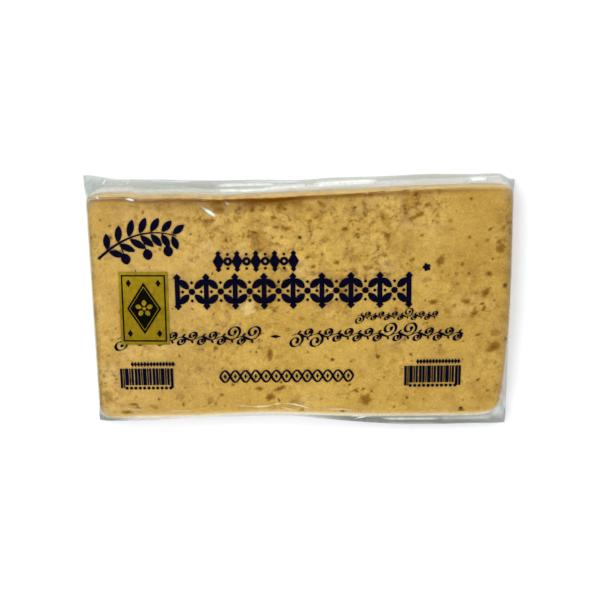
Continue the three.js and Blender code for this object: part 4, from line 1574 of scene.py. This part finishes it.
# %% Braid
BRAID = {"left": -36.6, "right": 24.0, "middle": -32.4, "height": 5.4, "eyes": 13}
x = np.linspace(BRAID["left"], BRAID["right"], BRAID["eyes"] * 16 + 1)
wave = np.sin(np.pi * (x - BRAID["left"]) / (BRAID["right"] - BRAID["left"]) * BRAID["eyes"])
braid = []
for side in (-1, 1):
    strand = np.stack([x, BRAID["middle"] + side * BRAID["height"] / 2 * wave], 1)
    braid.append(pen_stroke(strand, 0.65, 1.05))
for eye in range(BRAID["eyes"]):
    eye_x = BRAID["left"] + (eye + 0.5) * (BRAID["right"] - BRAID["left"]) / BRAID["eyes"]
    braid.append(lozenge((eye_x, BRAID["middle"]), 1.3, 2.4))
print_piece("print_braid", braid)

# %% [markdown]
# ## The two striped panels
#
# Near the front edge stand two small panels of upright stripes, in a width pattern that just
# repeats, with a row of small marks above and a row of dots below.

# %% Striped panels
STRIPE_WIDTHS = (1.1, 0.5, 1.6, 0.6, 1.0, 1.2)
STRIPE_GAPS = (0.35, 0.3, 0.35, 0.35, 0.5, 0.3)


def striped_panel(left, top, width):
    """Stripes from the left until the width is used up, longer at both ends."""
    sheets, x, index = [], left, 0
    while x < left + width - 0.8:
        stripe = STRIPE_WIDTHS[index % len(STRIPE_WIDTHS)]
        foot = top - (9.4 if index in (0, 1) or x > left + width - 2.5 else 8.0)
        path, _ = stretch((x + stripe / 2, top), (x + stripe / 2, foot), 1.2)
        sheets.append(ribbon(path, stripe, 1))
        x += stripe + STRIPE_GAPS[index % len(STRIPE_GAPS)]
        index += 1
    for place in range(11):
        dot_x = left + 2.8 + place * (width - 5.2) / 10
        sheets.append(disc((dot_x, top - 9.4), 0.75, cells_across=4))
    for place in range(14):
        dash_x = left + width - 0.9 - place * 1.42
        sheets.append(lozenge((dash_x, top + 2.0), 1.5, 2.6))
    return sheets


print_piece("print_stripes_left", striped_panel(-82.0, -28.2, 25.2))
print_piece("print_stripes_right", striped_panel(47.0, -28.0, 25.4))

# %% [markdown]
# ## The foil seal
#
# The seal is a paper-thin sticker of satin gold foil. Its slab sits on the film's flat seat,
# where the CAD node is, and buckles by a few hundredths of a millimetre. Its finish is a metal
# with a low sheen that clouds slightly.

# %% Foil seal
SEAL_SIZE = (21.8, 33.6)
SEAL_TURN = -0.8
SEAL_THICKNESS = 0.09
SEAL_LIFT = 0.012


def on_seal(x, y):
    """A point of the seal's own frame in the pack's frame."""
    angle = np.radians(SEAL_TURN)
    turned_x = LABEL_CENTRE[0] + x * np.cos(angle) - y * np.sin(angle)
    return np.stack([turned_x, LABEL_CENTRE[1] + x * np.sin(angle) + y * np.cos(angle)], -1)


def seal_height(x, y):
    """The flat seat, with a slight buckle in the foil."""
    return label_low[2] + 0.012 * (1 + lattice(x, y, 4.5, 30))


def foil_material():
    """Satin gold foil."""
    material, output = new_material("gold_foil")
    cloud = noise(material, 120, 3, 0.6)
    colour = ramp(material, cloud, (0.3, (0.36, 0.235, 0.008)), (0.7, (0.45, 0.31, 0.014)))
    rough = ramp(material, noise(material, 600, 3, 0.6), (0.3, 0.34), (0.7, 0.46))
    buckle = noise(material, 350, 2)
    bumps = add_node(material, "Bump", Strength=0.2, Distance=0.0002, Height=buckle).outputs[0]
    shader = add_node(material, "BsdfPrincipled", Base_Color=colour, Metallic=1.0, Roughness=rough,
                      Normal=bumps)
    material.node_tree.links.new(shader.outputs[0], output.inputs["Surface"])
    return material


side_x = np.linspace(-0.5, 0.5, 23) * SEAL_SIZE[0]
side_y = np.linspace(-0.5, 0.5, 35) * SEAL_SIZE[1]
seal_sheet = on_seal(*np.meshgrid(side_x, side_y, indexing="ij"))
points, faces = skin([seal_sheet], seal_height, SEAL_LIFT, SEAL_THICKNESS)
foil = foil_material()
seal = make_piece("foil_seal", points, faces, foil, "gold_foil", sharp_angle=SLAB_EDGE)
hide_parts("seal_label")

# %% [markdown]
# ## Print on the seal
#
# In black on the gold are a ruled frame, a large lozenge in its middle and a small one near each
# corner. Gold skins on the large lozenge draw a line inside its edge and a blossom.

# %% Print on the seal
FRAME_HALF = np.array([9.5, 15.4])
FRAME_LINE = 0.7
LOZENGE_SIZE = (15.4, 24.0)
INNER_SHARE = 0.84
CORNER_PLACE = np.array([6.6, 11.6])
CORNER_LOZENGE = (2.4, 3.6)
BLOSSOM_PETALS = 5


def seal_piece(name, sheets, level, thickness, material, slot):
    """Marks drawn in the seal's frame, as a thin skin this far above the foil's underside."""
    turned = [on_seal(sheet[..., 0], sheet[..., 1]) for sheet in sheets]
    points, faces = skin(turned, seal_height, SEAL_LIFT + level, thickness)
    return make_piece(name, points, faces, material, slot, sharp_angle=SLAB_EDGE)


def spoke(angle, inner, outer):
    """Start and end of a line on the seal's radius at this angle in degrees."""
    arm = np.array([np.cos(np.radians(angle)), np.sin(np.radians(angle))])
    return inner * arm, outer * arm


def large_lozenge(width, height, cells=30):
    """A diamond finely cut, from a square grid stood on its corner: X is half the width times
    the difference of the grid's two shares, and Y half the height times their sum."""
    share = np.linspace(-0.5, 0.5, cells + 1)
    a, b = np.meshgrid(share, share, indexing="ij")
    return np.stack([(a - b) * width / 2, (a + b) * height / 2], -1)


black_marks = [large_lozenge(*LOZENGE_SIZE)]
frame_inner = FRAME_HALF - FRAME_LINE / 2
for side in (-1, 1):
    upright, _ = stretch((side * FRAME_HALF[0], -FRAME_HALF[1]), (side * FRAME_HALF[0], FRAME_HALF[1]))
    rail_y = side * frame_inner[1]
    rail, _ = stretch((-frame_inner[0], rail_y), (frame_inner[0], rail_y))
    black_marks += [ribbon(upright, FRAME_LINE), ribbon(rail, FRAME_LINE)]
    for end in (-1, 1):
        black_marks.append(lozenge(CORNER_PLACE * (side, end), *CORNER_LOZENGE))
seal_piece("seal_print", black_marks, SEAL_THICKNESS + 0.002, 0.008, black, "black_ink")

tips = np.array([(1, 0), (0, 1), (-1, 0), (0, -1), (1, 0)]) * LOZENGE_SIZE * INNER_SHARE / 2
gold_marks = [disc((0, 0), 0.8, cells_across=6)]
for start, end in zip(tips[:-1], tips[1:]):
    edge_line, _ = stretch(start, end)
    gold_marks.append(ribbon(edge_line, 0.26))
for place in range(BLOSSOM_PETALS):
    gold_marks.append(petal(*spoke(90 + 360 / BLOSSOM_PETALS * place, 1.2, 4.0), 2.0, 0.6))
seal_piece("seal_blossom", gold_marks, SEAL_THICKNESS + 0.012, 0.006, foil, "gold_foil")
